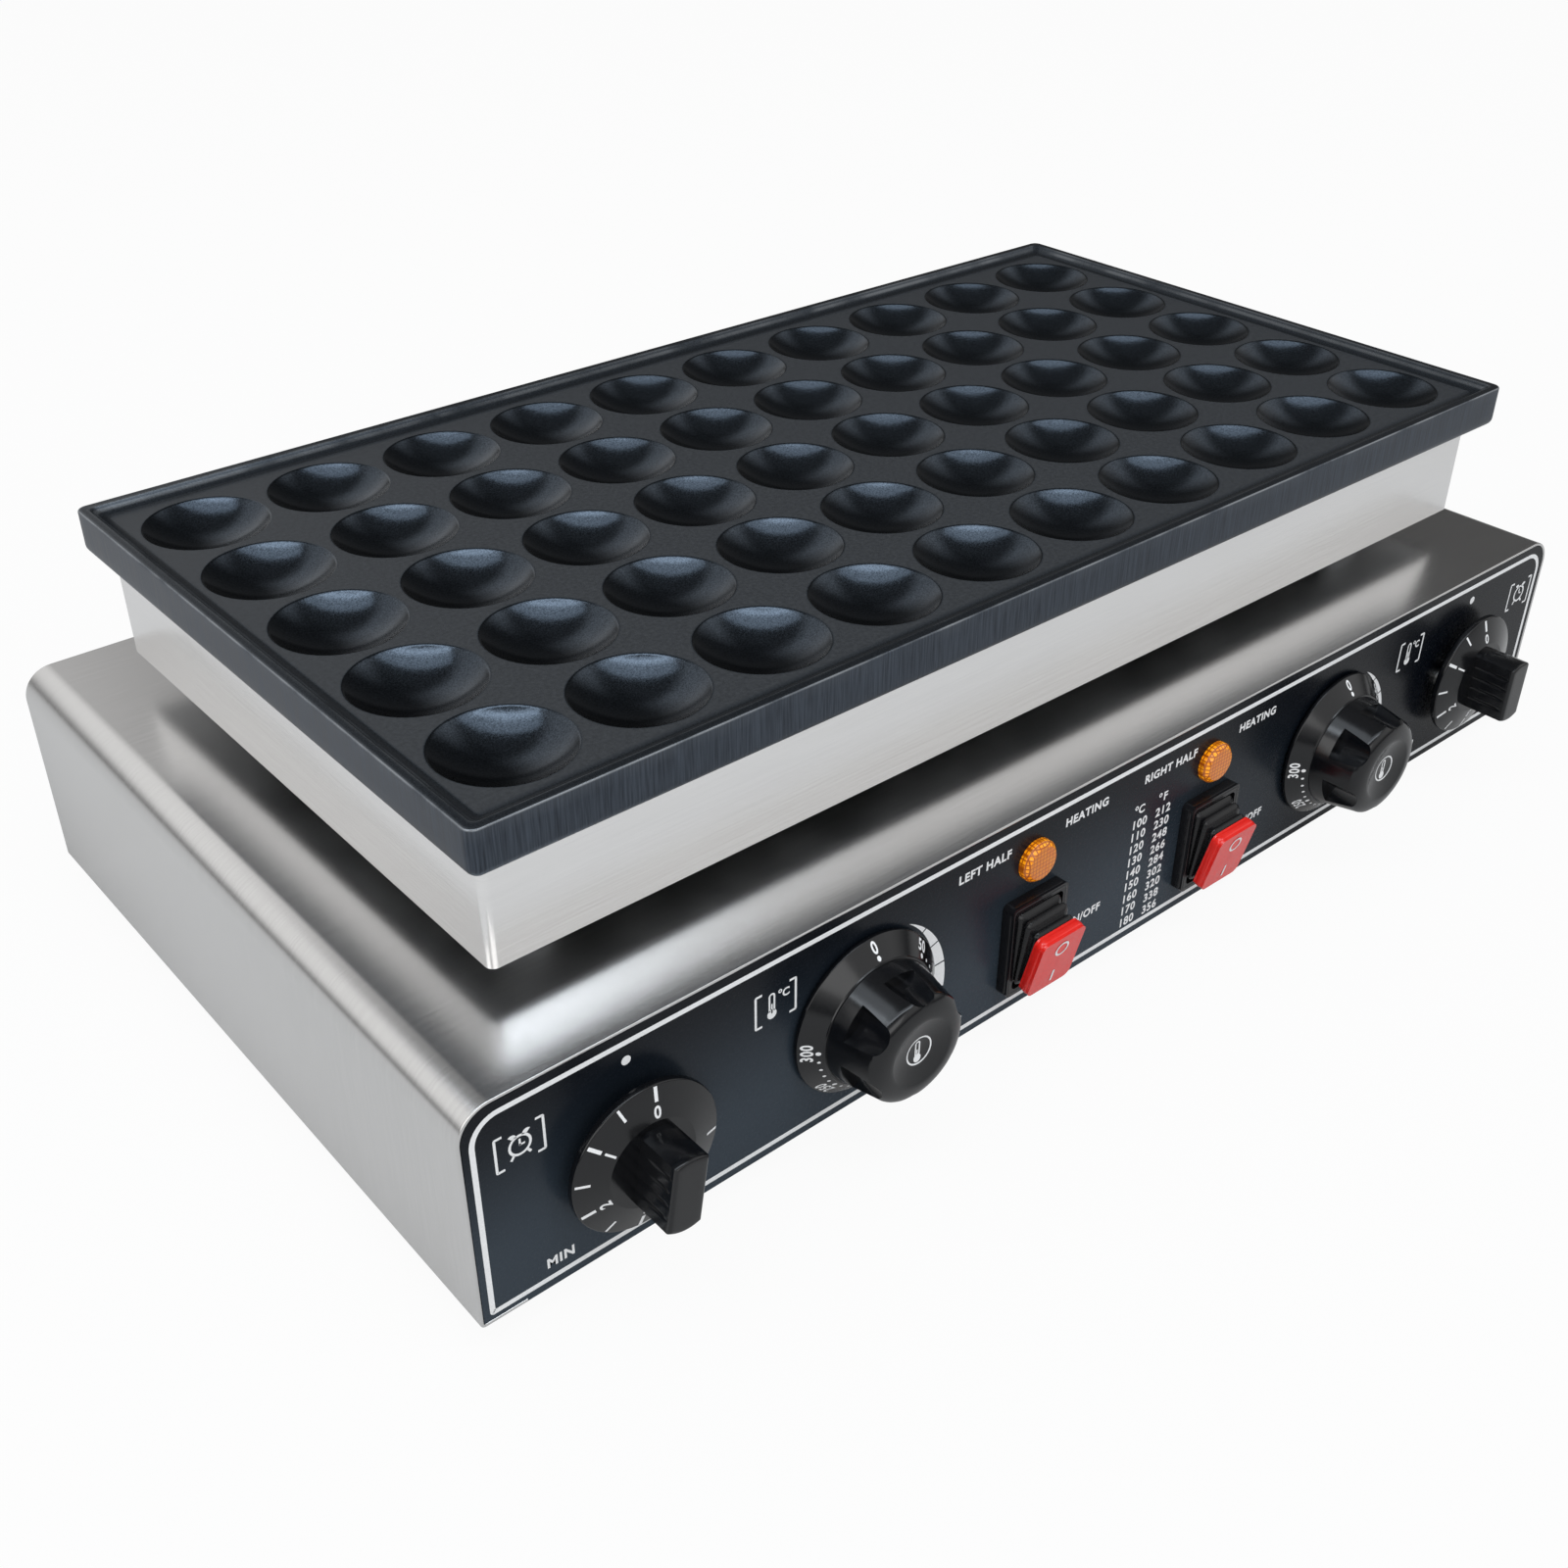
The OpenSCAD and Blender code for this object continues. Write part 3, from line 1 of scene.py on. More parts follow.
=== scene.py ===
import bmesh
import bpy
import numpy as np
from mathutils import Matrix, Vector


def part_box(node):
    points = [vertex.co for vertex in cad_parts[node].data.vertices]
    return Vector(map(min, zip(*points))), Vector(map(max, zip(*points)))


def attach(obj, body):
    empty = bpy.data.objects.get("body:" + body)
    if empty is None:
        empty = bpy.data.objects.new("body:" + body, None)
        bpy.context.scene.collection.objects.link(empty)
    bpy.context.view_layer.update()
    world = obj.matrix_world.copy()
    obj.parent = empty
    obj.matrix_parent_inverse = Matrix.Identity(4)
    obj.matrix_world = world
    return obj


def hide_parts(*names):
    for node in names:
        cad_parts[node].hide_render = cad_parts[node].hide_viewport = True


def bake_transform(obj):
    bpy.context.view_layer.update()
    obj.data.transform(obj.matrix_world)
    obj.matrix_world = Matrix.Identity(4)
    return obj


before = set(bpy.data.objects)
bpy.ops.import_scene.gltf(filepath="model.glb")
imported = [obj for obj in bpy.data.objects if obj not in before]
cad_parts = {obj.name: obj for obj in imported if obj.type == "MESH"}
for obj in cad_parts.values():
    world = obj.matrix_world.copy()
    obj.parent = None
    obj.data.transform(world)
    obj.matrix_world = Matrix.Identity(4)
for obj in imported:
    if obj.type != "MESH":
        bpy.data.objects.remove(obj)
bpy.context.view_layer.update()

mm = 0.001


# Feet: four moulded rubber buttons under the base plate, each held by a screw and a nut.
# They keep the casing clear of the table, so that air reaches the slots underneath.
def add_nodes(tree, *kinds):
    """New shader nodes of the given kinds."""
    return [tree.nodes.new("ShaderNode" + kind) for kind in kinds]


def connect(tree, *links):
    """Joins nodes: each link names a node and its output, then a node and its input."""
    for source, output, target, socket in links:
        tree.links.new(source.outputs[output], target.inputs[socket])


def preset(node, **values):
    """Sets sockets of a node to plain values. An underscore stands for a space in a socket's name."""
    for socket, value in values.items():
        node.inputs[socket.replace("_", " ")].default_value = value


def grain_group():
    """The shared grain: noise in Object coordinates, stretched along each axis, runs from 0 to 1.
    Color goes from Dark to Light with it, Roughness from Smooth to Rough, and Height is the noise."""
    group = bpy.data.node_groups.new("surface_grain", "ShaderNodeTree")
    for title, kind, start in (("Stretch", "Vector", (400, 400, 400)), ("Detail", "Float", 3.0),
                               ("Dark", "Color", (0.1, 0.1, 0.1, 1)), ("Light", "Color", (0.2, 0.2, 0.2, 1)),
                               ("Smooth", "Float", 0.4), ("Rough", "Float", 0.5)):
        group.interface.new_socket(title, in_out="INPUT", socket_type="NodeSocket" + kind).default_value = start
    for title, kind in (("Color", "Color"), ("Roughness", "Float"), ("Height", "Float")):
        group.interface.new_socket(title, in_out="OUTPUT", socket_type="NodeSocket" + kind)
    given, result = group.nodes.new("NodeGroupInput"), group.nodes.new("NodeGroupOutput")
    place, stretch, noise, contrast, colour, rough = add_nodes(
        group, "TexCoord", "VectorMath", "TexNoise", "MapRange", "Mix", "MapRange")
    stretch.operation, colour.data_type = "MULTIPLY", "RGBA"
    preset(noise, Scale=1.0)
    preset(contrast, From_Min=0.3, From_Max=0.7)
    connect(group, (place, "Object", stretch, 0), (given, "Stretch", stretch, 1), (stretch, "Vector", noise, "Vector"),
            (given, "Detail", noise, "Detail"), (noise, "Fac", contrast, "Value"),
            (contrast, "Result", colour, "Factor"), (given, "Dark", colour, "A"), (given, "Light", colour, "B"),
            (contrast, "Result", rough, "Value"), (given, "Smooth", rough, "To Min"),
            (given, "Rough", rough, "To Max"), (colour, "Result", result, "Color"),
            (rough, "Result", result, "Roughness"), (noise, "Fac", result, "Height"))
    return group


surface_grain = grain_group()


def grain_node(tree, dark, light, smooth, rough, stretch, detail=3.0):
    """A node of the shared grain with values of its own. Stretch may be one number for all axes."""
    grain, = add_nodes(tree, "Group")
    grain.node_tree = surface_grain
    preset(grain, Stretch=np.broadcast_to(stretch, 3), Detail=detail, Dark=(*dark, 1), Light=(*light, 1),
           Smooth=smooth, Rough=rough)
    return grain


def finish(name, dark, light, smooth, rough, stretch, bump, detail=3.0, **plain):
    """A material with grain: colour, roughness and a bump of the given height in metres come from the
    surface_grain group, and what is the same all over is set on the shader's own sockets."""
    made = bpy.data.materials.new(name)
    made.use_nodes = True
    tree = made.node_tree
    shader, grain = tree.nodes["Principled BSDF"], grain_node(tree, dark, light, smooth, rough, stretch, detail)
    relief, = add_nodes(tree, "Bump")
    grain.name, relief.name = "grain", "relief"
    preset(relief, Strength=1.0, Distance=bump)
    preset(shader, **plain)
    connect(tree, (grain, "Color", shader, "Base Color"), (grain, "Roughness", shader, "Roughness"),
            (grain, "Height", relief, "Height"), (relief, "Normal", shader, "Normal"))
    return made


def dress(material, *names):
    """Gives a finish to nodes that keep their own shape."""
    for name in names:
        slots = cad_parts[name].material_slots
        for slot in slots:
            slot.material = material
        if not slots:
            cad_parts[name].data.materials.append(material)


foot_rubber = finish("foot_rubber", (0.012, 0.012, 0.013), (0.022, 0.022, 0.024), 0.6, 0.75, 900, 6e-5)
dress(foot_rubber, "feet")


# Base plate: zinc-coated sheet screwed to the casing's bottom flanges, with two rows of air slots.
# The screws and nuts are plain plated hardware, and the earth stud is brass.
zinc_sheet = finish("zinc_sheet", (0.42, 0.43, 0.44), (0.58, 0.59, 0.60), 0.34, 0.5,
                    60, 1e-5, detail=6.0, Metallic=1.0)
plated_steel = finish("plated_steel", (0.50, 0.50, 0.49), (0.62, 0.62, 0.61), 0.28, 0.4, 500, 1e-5, Metallic=1.0)
brass = finish("brass", (0.55, 0.38, 0.13), (0.70, 0.52, 0.22), 0.3, 0.42, 500, 1e-5, Metallic=1.0)
dress(zinc_sheet, "base_plate")
dress(plated_steel, "base_screws", "foot_screws", "foot_nuts")
dress(brass, "earth_stud")


# Base casing: one stainless sheet bent over the top and down both sides, with flanges turned in
# at the bottom. The grain of the sheet runs over the bends, and the cut edges show at the front.
def unit(rows):
    """Each row divided by its length."""
    return rows / np.linalg.norm(rows, axis=1, keepdims=True)


def rounded_run(corners, radii, steps=8, closed=False):
    """Corners joined by straight lines, each corner replaced by an arc of its radius. The arc's centre
    lies radius / cos(half the turn) from the corner, and its points are even in angle."""
    corners = np.asarray(corners, float)
    back, ahead = unit(np.roll(corners, 1, 0) - corners), unit(np.roll(corners, -1, 0) - corners)
    radius = np.broadcast_to(radii, len(corners)).astype(float)
    if not closed:
        radius[[0, -1]] = 0
    turn = np.pi - np.arccos(np.clip((back * ahead).sum(1), -1, 1))
    middle = back + ahead
    middle /= np.maximum(np.linalg.norm(middle, axis=1, keepdims=True), 1e-12)
    centre = corners + middle * (radius / np.maximum(np.cos(turn / 2), 1e-6))[:, None]
    first = corners + back * (radius * np.tan(np.minimum(turn, 3.0) / 2))[:, None]
    angle = np.linspace(0, 1, steps + 1)[:, None] * turn[:, None, None]
    points = (centre[:, None] + np.cos(angle) * (first - centre)[:, None]
              - np.sin(angle) * radius[:, None, None] * back[:, None]).reshape(-1, 2)
    if not closed:
        step = np.linalg.norm(np.diff(points, axis=0, prepend=points[:1] - 1), axis=1)
        points = points[step > 1e-9]
    return points


def outline(width, height, radius, steps=8):
    """A rounded rectangle about the origin, as a closed run of points."""
    x, y = width / 2, height / 2
    return rounded_run([(-x, -y), (x, -y), (x, y), (-x, y)], radius, steps, closed=True)


def grid_faces(rows, columns, wrap_rows=False, wrap_columns=False):
    """Four-cornered faces between neighbouring points of a grid, closed in the directions that wrap."""
    i = np.arange(rows if wrap_rows else rows - 1)[:, None]
    j = np.arange(columns if wrap_columns else columns - 1)[None, :]
    below, beside = (i + 1) % rows, (j + 1) % columns
    corners = (i * columns + j, i * columns + beside, below * columns + beside, below * columns + j)
    return np.stack(np.broadcast_arrays(*corners), -1).reshape(-1, 4)


def shown(name, data):
    """The object of a mesh, a light or a camera, put into the scene."""
    made = bpy.data.objects.new(name, data)
    bpy.context.scene.collection.objects.link(made)
    return made


def lay_mesh(name, points, faces, material, crease=35):
    """The object of one piece. Points that fall together are merged, faces that shrink to a side lose the
    doubled corner, normals turn outwards, and edges sharper than crease degrees stay sharp.
    Also gives, for each point of the mesh, the given point it came from."""
    points = np.asarray(points, float).reshape(-1, 3)
    keys = np.round(points * 1e7).astype(np.int64)
    _, first, merged = np.unique(keys, axis=0, return_index=True, return_inverse=True)
    corners = merged.reshape(-1)[np.asarray(faces)]
    doubled = corners == np.roll(corners, -1, axis=1)
    whole = corners[doubled.sum(1) == 0]
    cut = [np.delete(corners[(doubled.sum(1) == 1) & doubled[:, k]], k, axis=1) for k in range(corners.shape[1])]
    mesh = bpy.data.meshes.new(name)
    mesh.from_pydata(points[first].tolist(), [], whole.tolist() + np.concatenate(cut).tolist())
    shape = bmesh.new()
    shape.from_mesh(mesh)
    bmesh.ops.recalc_face_normals(shape, faces=shape.faces)
    shape.to_mesh(mesh)
    shape.free()
    mesh.shade_smooth()
    mesh.set_sharp_from_angle(angle=np.radians(crease))
    mesh.materials.append(material)
    return shown(name, mesh), first


def lay_grid(name, grid, material, **wraps):
    """The object of a piece whose points are one grid."""
    return lay_mesh(name, grid, grid_faces(*grid.shape[:2], **wraps), material)[0]


def note(piece, title, values):
    """Stores one number per point of the mesh, for a material to read."""
    layer = piece.data.attributes.new(title, "FLOAT", "POINT")
    layer.data.foreach_set("value", np.asarray(values, np.float32))


def brushed_finish(name, stretch, dark=(0.61, 0.605, 0.60), light=(0.65, 0.645, 0.64), rough=0.26):
    """Brushed stainless sheet: fine noise drawn out along the brushing gives the lines, and a broad,
    faint noise under it keeps wide areas from looking even."""
    made = finish(name, dark, light, 0.23, rough, stretch, 1e-7, detail=2.0, Metallic=1.0)
    tree = made.node_tree
    place, broad, blend = add_nodes(tree, "TexCoord", "TexNoise", "Mix")
    blend.data_type, blend.blend_type = "RGBA", "SOFT_LIGHT"
    preset(broad, Scale=9.0, Detail=2.0)
    preset(blend, Factor=0.1)
    connect(tree, (place, "Object", broad, "Vector"), (tree.nodes["grain"], "Color", blend, "A"),
            (broad, "Fac", blend, "B"), (blend, "Result", tree.nodes["Principled BSDF"], "Base Color"))
    return made


casing_low, casing_high = np.array(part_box("base_casing"))
casing_sheet, casing_flange = 1.2 * mm, 16 * mm
top_bend, flange_bend, cut_round = 12 * mm - casing_sheet / 2, 1.2 * mm, 0.45 * mm
half_w = casing_high[0] - casing_sheet / 2
half_d = casing_high[1]
low_z, high_z = casing_low[2] + casing_sheet / 2, casing_high[2] - casing_sheet / 2
way = rounded_run(
    [(casing_flange - half_w, low_z), (-half_w, low_z), (-half_w, high_z),
     (half_w, high_z), (half_w, low_z), (half_w - casing_flange, low_z)],
    [0, flange_bend, top_bend, top_bend, flange_bend, 0], steps=14)
along = unit(np.gradient(way, axis=0))
across = np.stack([-along[:, 1], along[:, 0]], -1)
edge = outline(casing_sheet, 2 * half_d, cut_round, steps=4)
rows = np.stack([way[:, None, 0] + edge[:, 0] * across[:, None, 0], 0 * way[:, :1] + edge[:, 1],
                 way[:, None, 1] + edge[:, 0] * across[:, None, 1]], -1)
caps = [np.stack([np.full(len(edge), x), edge[:, 1], np.full(len(edge), z)], -1) for x, z in way[[0, -1]]]
rows = np.concatenate([caps[:1], rows, caps[1:]])
casing_steel = brushed_finish("casing_steel", (40, 1400, 40))
base_casing = lay_grid("base_casing_sheet", rows, casing_steel, wrap_columns=True)
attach(base_casing, "housing")
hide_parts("base_casing")


# Rear panel and cable gland: a flat steel panel with turned-back edges and air slots closes the back.
# The moulded gland clamps the supply cable with a rubber seal under its cap.
panel_steel = brushed_finish("panel_steel", (30, 1200, 1600))
moulded_black = finish("moulded_black", (0.010, 0.010, 0.011), (0.020, 0.020, 0.022), 0.38, 0.5, 1400, 2e-5)
seal_rubber = finish("seal_rubber", (0.010, 0.010, 0.010), (0.018, 0.018, 0.018), 0.6, 0.72, 900, 3e-5)
dress(panel_steel, "rear_panel", "front_panel")
dress(moulded_black, "cable_gland", "gland_cap", "gland_nut")
dress(seal_rubber, "gland_seal")


# Front film: a black polyester sheet glued to the front panel, matt with a faint leather grain.
# Its white border, scale marks and small pictures are screen-printed ink.
film_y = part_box("panel_film")[0][1]
casing_bottom = casing_low[2]
black_film = finish("black_film", (0.003, 0.0045, 0.0075), (0.004, 0.0055, 0.009), 0.26, 0.28,
                    700, 3e-7, detail=4.0, Specular_IOR_Level=0.13)


def ramp(tree, source, output, low, high):
    """A node that steps smoothly from 0 where a node's output is at low to 1 where it is at high."""
    step, = add_nodes(tree, "MapRange")
    step.interpolation_type = "SMOOTHSTEP"
    preset(step, From_Min=low, From_Max=high)
    connect(tree, (source, output, step, "Value"))
    return step


def hazed(material, sheen_colour, heights, widths):
    """A painted reflection of the pale floor: a bluish sheen in the film's colour that grows down from the top edge,
    and is strongest left of the middle. The sheen is the product of a step between two heights and one between two
    widths, in Object coordinates."""
    tree = material.node_tree
    place, axes, both, blend = add_nodes(tree, "TexCoord", "SeparateXYZ", "Math", "Mix")
    both.operation, blend.data_type = "MULTIPLY", "RGBA"
    preset(blend, B=sheen_colour)
    connect(tree, (place, "Object", axes, "Vector"), (ramp(tree, axes, "Z", *heights), "Result", both, 0),
            (ramp(tree, axes, "X", *widths), "Result", both, 1), (both, "Value", blend, "Factor"),
            (tree.nodes["grain"], "Color", blend, "A"),
            (blend, "Result", tree.nodes["Principled BSDF"], "Base Color"))


# Painted reflection: the film's colour turns to a bluish sheen towards its bottom and its left.
hazed(black_film, (0.034, 0.047, 0.062, 1), heights=(0.095, 0.03), widths=(0.15, 0.0))
dress(black_film, "panel_film")
white_ink = finish("white_ink", (0.86, 0.87, 0.88), (0.92, 0.93, 0.94), 0.42, 0.55, 1500, 4e-6)
ink_rise, capital_share = 0.05, 0.73


def ribbon(run, width, closed=False):
    """A stroke of one width along a run of points: each point gives one point half the width to its left
    and one to its right, square to the run."""
    run = np.asarray(run, float)
    ahead = unit(np.roll(run, -1, 0) - np.roll(run, 1, 0) if closed else np.gradient(run, axis=0))
    side = np.stack([ahead[:, 1], -ahead[:, 0]], -1) * width / 2
    return np.stack([run + side, run - side], 1).reshape(-1, 2), grid_faces(len(run), 2, wrap_rows=closed)


def ring_patch(x, y, inner, outer, start, end, steps=24):
    """A part of a ring: polar grid from the inner to the outer radius, between two angles in degrees.
    Either radius may be one number or one for each angle."""
    angle = np.radians(np.linspace(start, end, steps + 1))
    radius = np.stack([np.broadcast_to(inner, angle.shape), np.broadcast_to(outer, angle.shape)], 1)
    points = np.stack([x + radius * np.cos(angle)[:, None], y + radius * np.sin(angle)[:, None]], -1)
    return points.reshape(-1, 2), grid_faces(steps + 1, 2)


def bearing(degrees):
    """Cosine and sine of an angle in degrees."""
    return np.cos(np.radians(degrees)), np.sin(np.radians(degrees))


def lettering(words, height, thick, x, y, turn=0.0):
    """Letters as a flat mesh, turned by some degrees, with their middle at a place: the built-in face, filled,
    scaled so that a capital has the given height, with thick added to the strokes."""
    curve = bpy.data.curves.new("words", "FONT")
    curve.body, curve.size, curve.align_x = words, height / capital_share, "CENTER"
    curve.offset, curve.resolution_u, curve.space_character = thick, 4, 1.12
    holder = shown("words", curve)
    bpy.context.view_layer.update()
    flat = bpy.data.meshes.new_from_object(holder.evaluated_get(bpy.context.evaluated_depsgraph_get()))
    flat.calc_loop_triangles()
    points = np.zeros(len(flat.vertices) * 3)
    flat.vertices.foreach_get("co", points)
    faces = np.zeros(len(flat.loop_triangles) * 3, np.int32)
    flat.loop_triangles.foreach_get("vertices", faces)
    bpy.data.objects.remove(holder)
    bpy.data.curves.remove(curve)
    bpy.data.meshes.remove(flat)
    c, s = bearing(turn)
    points = (points.reshape(-1, 3)[:, :2] - [0, height / 2]) @ np.array([[c, s], [-s, c]]) + [x, y]
    return points, faces.reshape(-1, 3)


def on_panel(points, x, z):
    """Turns a piece drawn in millimetres, x to the right, y up and z out of the film, to its place on the
    panel: x and z are the place in metres."""
    points = np.asarray(points, float) * mm
    return np.stack([points[..., 0] + x, film_y - points[..., 2], points[..., 1] + z], -1)


def print_mesh(name, patches, lift, x, z, body):
    """One inked mesh from many flat patches, each lifted off the surface under it: lift gives the height of
    that surface at a flat place."""
    points, faces, count = [], [], 0
    for flat, corners in patches:
        points.append(np.concatenate([flat, (lift(flat) + ink_rise)[:, None]], 1))
        faces += (np.asarray(corners) + count).tolist()
        count += len(flat)
    mesh = bpy.data.meshes.new(name)
    mesh.from_pydata(on_panel(np.concatenate(points), x, z).tolist(), [], faces)
    shape = bmesh.new()
    shape.from_mesh(mesh)
    shape.normal_update()
    bmesh.ops.reverse_faces(shape, faces=[f for f in shape.faces if f.normal.y > 0])
    shape.to_mesh(mesh)
    shape.free()
    mesh.materials.append(white_ink)
    piece = shown(name, mesh)
    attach(piece, body)


def bracketed(x, y):
    """A pair of square brackets about a place."""
    half_gap, half_height, arm, stroke = 8.2, 6.4, 2.6, 0.9
    high, low = y + half_height, y - half_height
    for side in (-1, 1):
        back, tip = x + side * half_gap, x + side * (half_gap - arm)
        yield ribbon(rounded_run([(tip, high), (back, high), (back, low), (tip, low)], 0.35, steps=3), stroke)


def clock_picture(x, y):
    """An alarm clock: a ring, two hands, two bells and two feet."""
    yield ring_patch(x, y, 3.1, 4.0, 0, 360)
    yield ribbon([(x, y - 0.3), (x, y + 2.3)], 0.7)
    yield ribbon([(x - 0.3, y), (x + 1.7, y)], 0.7)
    for side in (-1, 1):
        start = 45 if side > 0 else 0
        yield ring_patch(x + side * 2.6, y + 3.3, 0, 1.7, start, start + 135, 8)
        yield ribbon([(x + side * 2.3, y - 3.1), (x + side * 3.4, y - 4.6)], 0.9)


def thermometer_picture(x, y, size=1.0):
    """A thermometer: a round bulb under an outlined stem with a rounded top, and a thread in the stem."""
    yield ring_patch(x, y - 3.3 * size, 0, 1.9 * size, 0, 360)
    left, right, low, high = x - size, x + size, y - 2.2 * size, y + 4.8 * size
    stem = rounded_run([(left, low), (left, high), (right, high), (right, low)], 0.95 * size, 5)
    yield ribbon(stem, 0.7 * size)
    yield ribbon([(x, y - 3 * size), (x, y + 0.8 * size)], 0.6 * size)


def middle(name):
    """The x and z of the middle of a node's box."""
    low, high = np.array(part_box(name))
    return (low[0] + high[0]) / 2, (low[2] + high[2]) / 2


def flat_place(name):
    """The place of a node on the film, in millimetres from the middle and from the casing's lower edge."""
    x, z = middle(name)
    return x / mm, (z - casing_bottom) / mm


border_half, border_low, border_high = 277.4, 4.0, 80.4
marks = [ribbon(rounded_run([(-border_half, border_low), (border_half, border_low), (border_half, border_high),
                             (-border_half, border_high)], [0.5, 0.5, 9.5, 9.5], 10, closed=True), 1.9, closed=True)]
small_type, large_type, word_level = (3.6, 0.17), (3.9, 0.18), 72.6
arc_start, arc_end, arc_part, arc_gap, arc_r, arc_growth = -32.5, 52, 16.0, 1.0, 32.3, 0.107
for name in ("left", "right"):
    timer_x, _ = flat_place(f"timer_knob_{name}")
    heat_x, heat_h = flat_place(f"thermostat_knob_{name}")
    switch_x, _ = flat_place(f"switch_housing_{name}")
    marks.append(ring_patch(timer_x, 73.6, 0, 1.7, 0, 360))
    marks += [lettering(*words) for words in (
        (f"{name.upper()} HALF", *small_type, switch_x - 25.2, word_level),
        ("HEATING", *small_type, switch_x + 26.5, word_level), ("ON/OFF", *small_type, switch_x + 30.5, 24.2),
        ("HEAT", *large_type, heat_x + 41.5, 8.3), ("MIN", *large_type, timer_x - 28.0, 10.5))]
    for start in np.arange(arc_start, arc_end, arc_part + arc_gap):
        angle = np.linspace(start, min(start + arc_part, arc_end), 13)
        arc_outer = arc_r + arc_growth * (arc_end + 0.5 - angle)
        marks.append(ring_patch(heat_x, heat_h, arc_r, arc_outer, angle[0], angle[-1], 12))
for x, y in ((-262.2, 63.8), (266.0, 63.2)):
    marks += [*bracketed(x, y), *clock_picture(x, y)]
for x, y in ((-167.2, 63.5), (181.3, 63.5)):
    marks += [*bracketed(x, y), *thermometer_picture(x - 1.6, y)]
    marks += [ring_patch(x + 1.8, y + 4.2, 0.35, 0.8, 0, 360, 16), lettering("C", 3.2, 0.12, x + 4.2, y + 2.9)]
celsius_x, fahrenheit_x, table_high, table_step = 8.8, 22.4, 53.8, 5.7
for row in range(9):
    for number, x in ((100 + 10 * row, celsius_x), (212 + 18 * row, fahrenheit_x)):
        marks.append(lettering(str(number), 3.9, 0.15, x, table_high - table_step * row))
for x, mark in ((celsius_x, "C"), (fahrenheit_x, "F")):
    marks += [ring_patch(x - 2.6, 61.2, 0.45, 0.95, 0, 360, 16), lettering(mark, 3.7, 0.15, x + 0.4, 60)]
print_mesh("panel_print", marks, lambda flat: np.zeros(len(flat)), 0, casing_bottom, "housing")


# Timer knobs: moulded black knobs on the timers' shafts, a sloped skirt with a bar grip across it.
# The scale is printed on the skirt, shallow grooves run along the sides of the bar, and the left
# knob is pushed on its shaft a little off the upright.
knob_black = finish("knob_black", (0.003, 0.0035, 0.0045), (0.005, 0.0055, 0.007), 0.14, 0.19,
                    1600, 1e-6, Specular_IOR_Level=0.45)


def turned(profile, segments):
    """A profile of radius and height turned about the z axis."""
    angle = np.linspace(0, 2 * np.pi, segments, endpoint=False)[:, None]
    radius, height = profile.T
    return np.stack([radius * np.cos(angle), radius * np.sin(angle), height + 0 * angle], -1)


def ring_at(width, height, radius, level):
    """A rounded rectangle about the z axis, at one level."""
    return np.insert(outline(width, height, radius), 2, level, axis=1)


def ringed(width, height, radius, levels):
    """Rounded rectangles stacked up: each level gives how far its outline is set in, and its height."""
    return np.stack([ring_at(width - 2 * inset, height - 2 * inset, max(radius - inset, 0.05), level)
                     for inset, level in levels])


def joined(*grids):
    """Grids of points and their faces put together as one mesh."""
    points, faces, count = [], [], 0
    for grid, corners in grids:
        flat = np.asarray(grid).reshape(-1, 3)
        points.append(flat)
        faces.append(np.asarray(corners) + count)
        count += len(flat)
    return np.concatenate(points), np.concatenate(faces)


def lay_knob(name, place, profile, segments, grip):
    """The object of a knob: a skirt turned from its profile, and a grip that goes round by columns."""
    around = turned(profile, segments)
    points, faces = joined((around, grid_faces(*around.shape[:2], wrap_rows=True)),
                           (grip, grid_faces(*grip.shape[:2], wrap_columns=True)))
    return lay_mesh(f"{name}_moulding", on_panel(points, *place), faces, knob_black)[0]


def cone_rise(outer, inner, low, high):
    """Gives the function for the height of a skirt's cone above the film at flat places: low at its outer
    radius, rising evenly to high at its inner one."""
    return lambda flat: (
        low + (outer - np.clip(np.linalg.norm(flat, axis=1), inner, outer)) / (outer - inner) * (high - low))


def bar_grip(turn):
    """The bar, turned by some degrees: straight sides 6.25 from the middle, joined by arcs of radius 13.75. Each
    side has four grooves, bell curves 0.6 deep that fade out before the front, where the edge is rounded off."""
    thick, reach, front, front_round, groove_deep, groove_half = 6.25, 13.75, 29.0, 1.3, 0.6, 0.5
    y = np.linspace(-1, 1, 121) * np.sqrt(reach ** 2 - thick ** 2)
    groove = groove_deep * np.exp(-((y[:, None] - [-7.5, -2.5, 2.5, 7.5]) / groove_half) ** 2).sum(1)
    bend = np.linspace(np.arccos(thick / reach), np.pi - np.arccos(thick / reach), 14)[1:-1]
    half = np.concatenate([np.stack([np.full_like(y, thick), y], -1),
                           reach * np.stack([np.cos(bend), np.sin(bend)], -1)])
    inward = np.concatenate([groove, 0 * bend])
    edge = np.linspace(0, np.pi / 2, 7)
    inset = np.concatenate([[thick, 0, 0, 0, 0, 0], front_round * (1 - np.cos(edge)), [3.0, thick]])
    depth = np.concatenate([[0, 0, 1, 1, 1, 0], 0 * edge, [0, 0]])
    level = np.concatenate([[9, 9, 12.5, 18, 24.5, 26], front - front_round * (1 - np.sin(edge)), [front, front]])
    x = (half[:, 0] - depth[:, None] * inward) * (1 - inset / thick)[:, None]
    y = half[:, 1] * (1 - inset / reach)[:, None]
    x, y = np.concatenate([x, -x], 1), np.concatenate([y, -y], 1)
    c, s = bearing(turn)
    return np.stack([x * c - y * s, x * s + y * c, level[:, None] + 0 * x], -1)


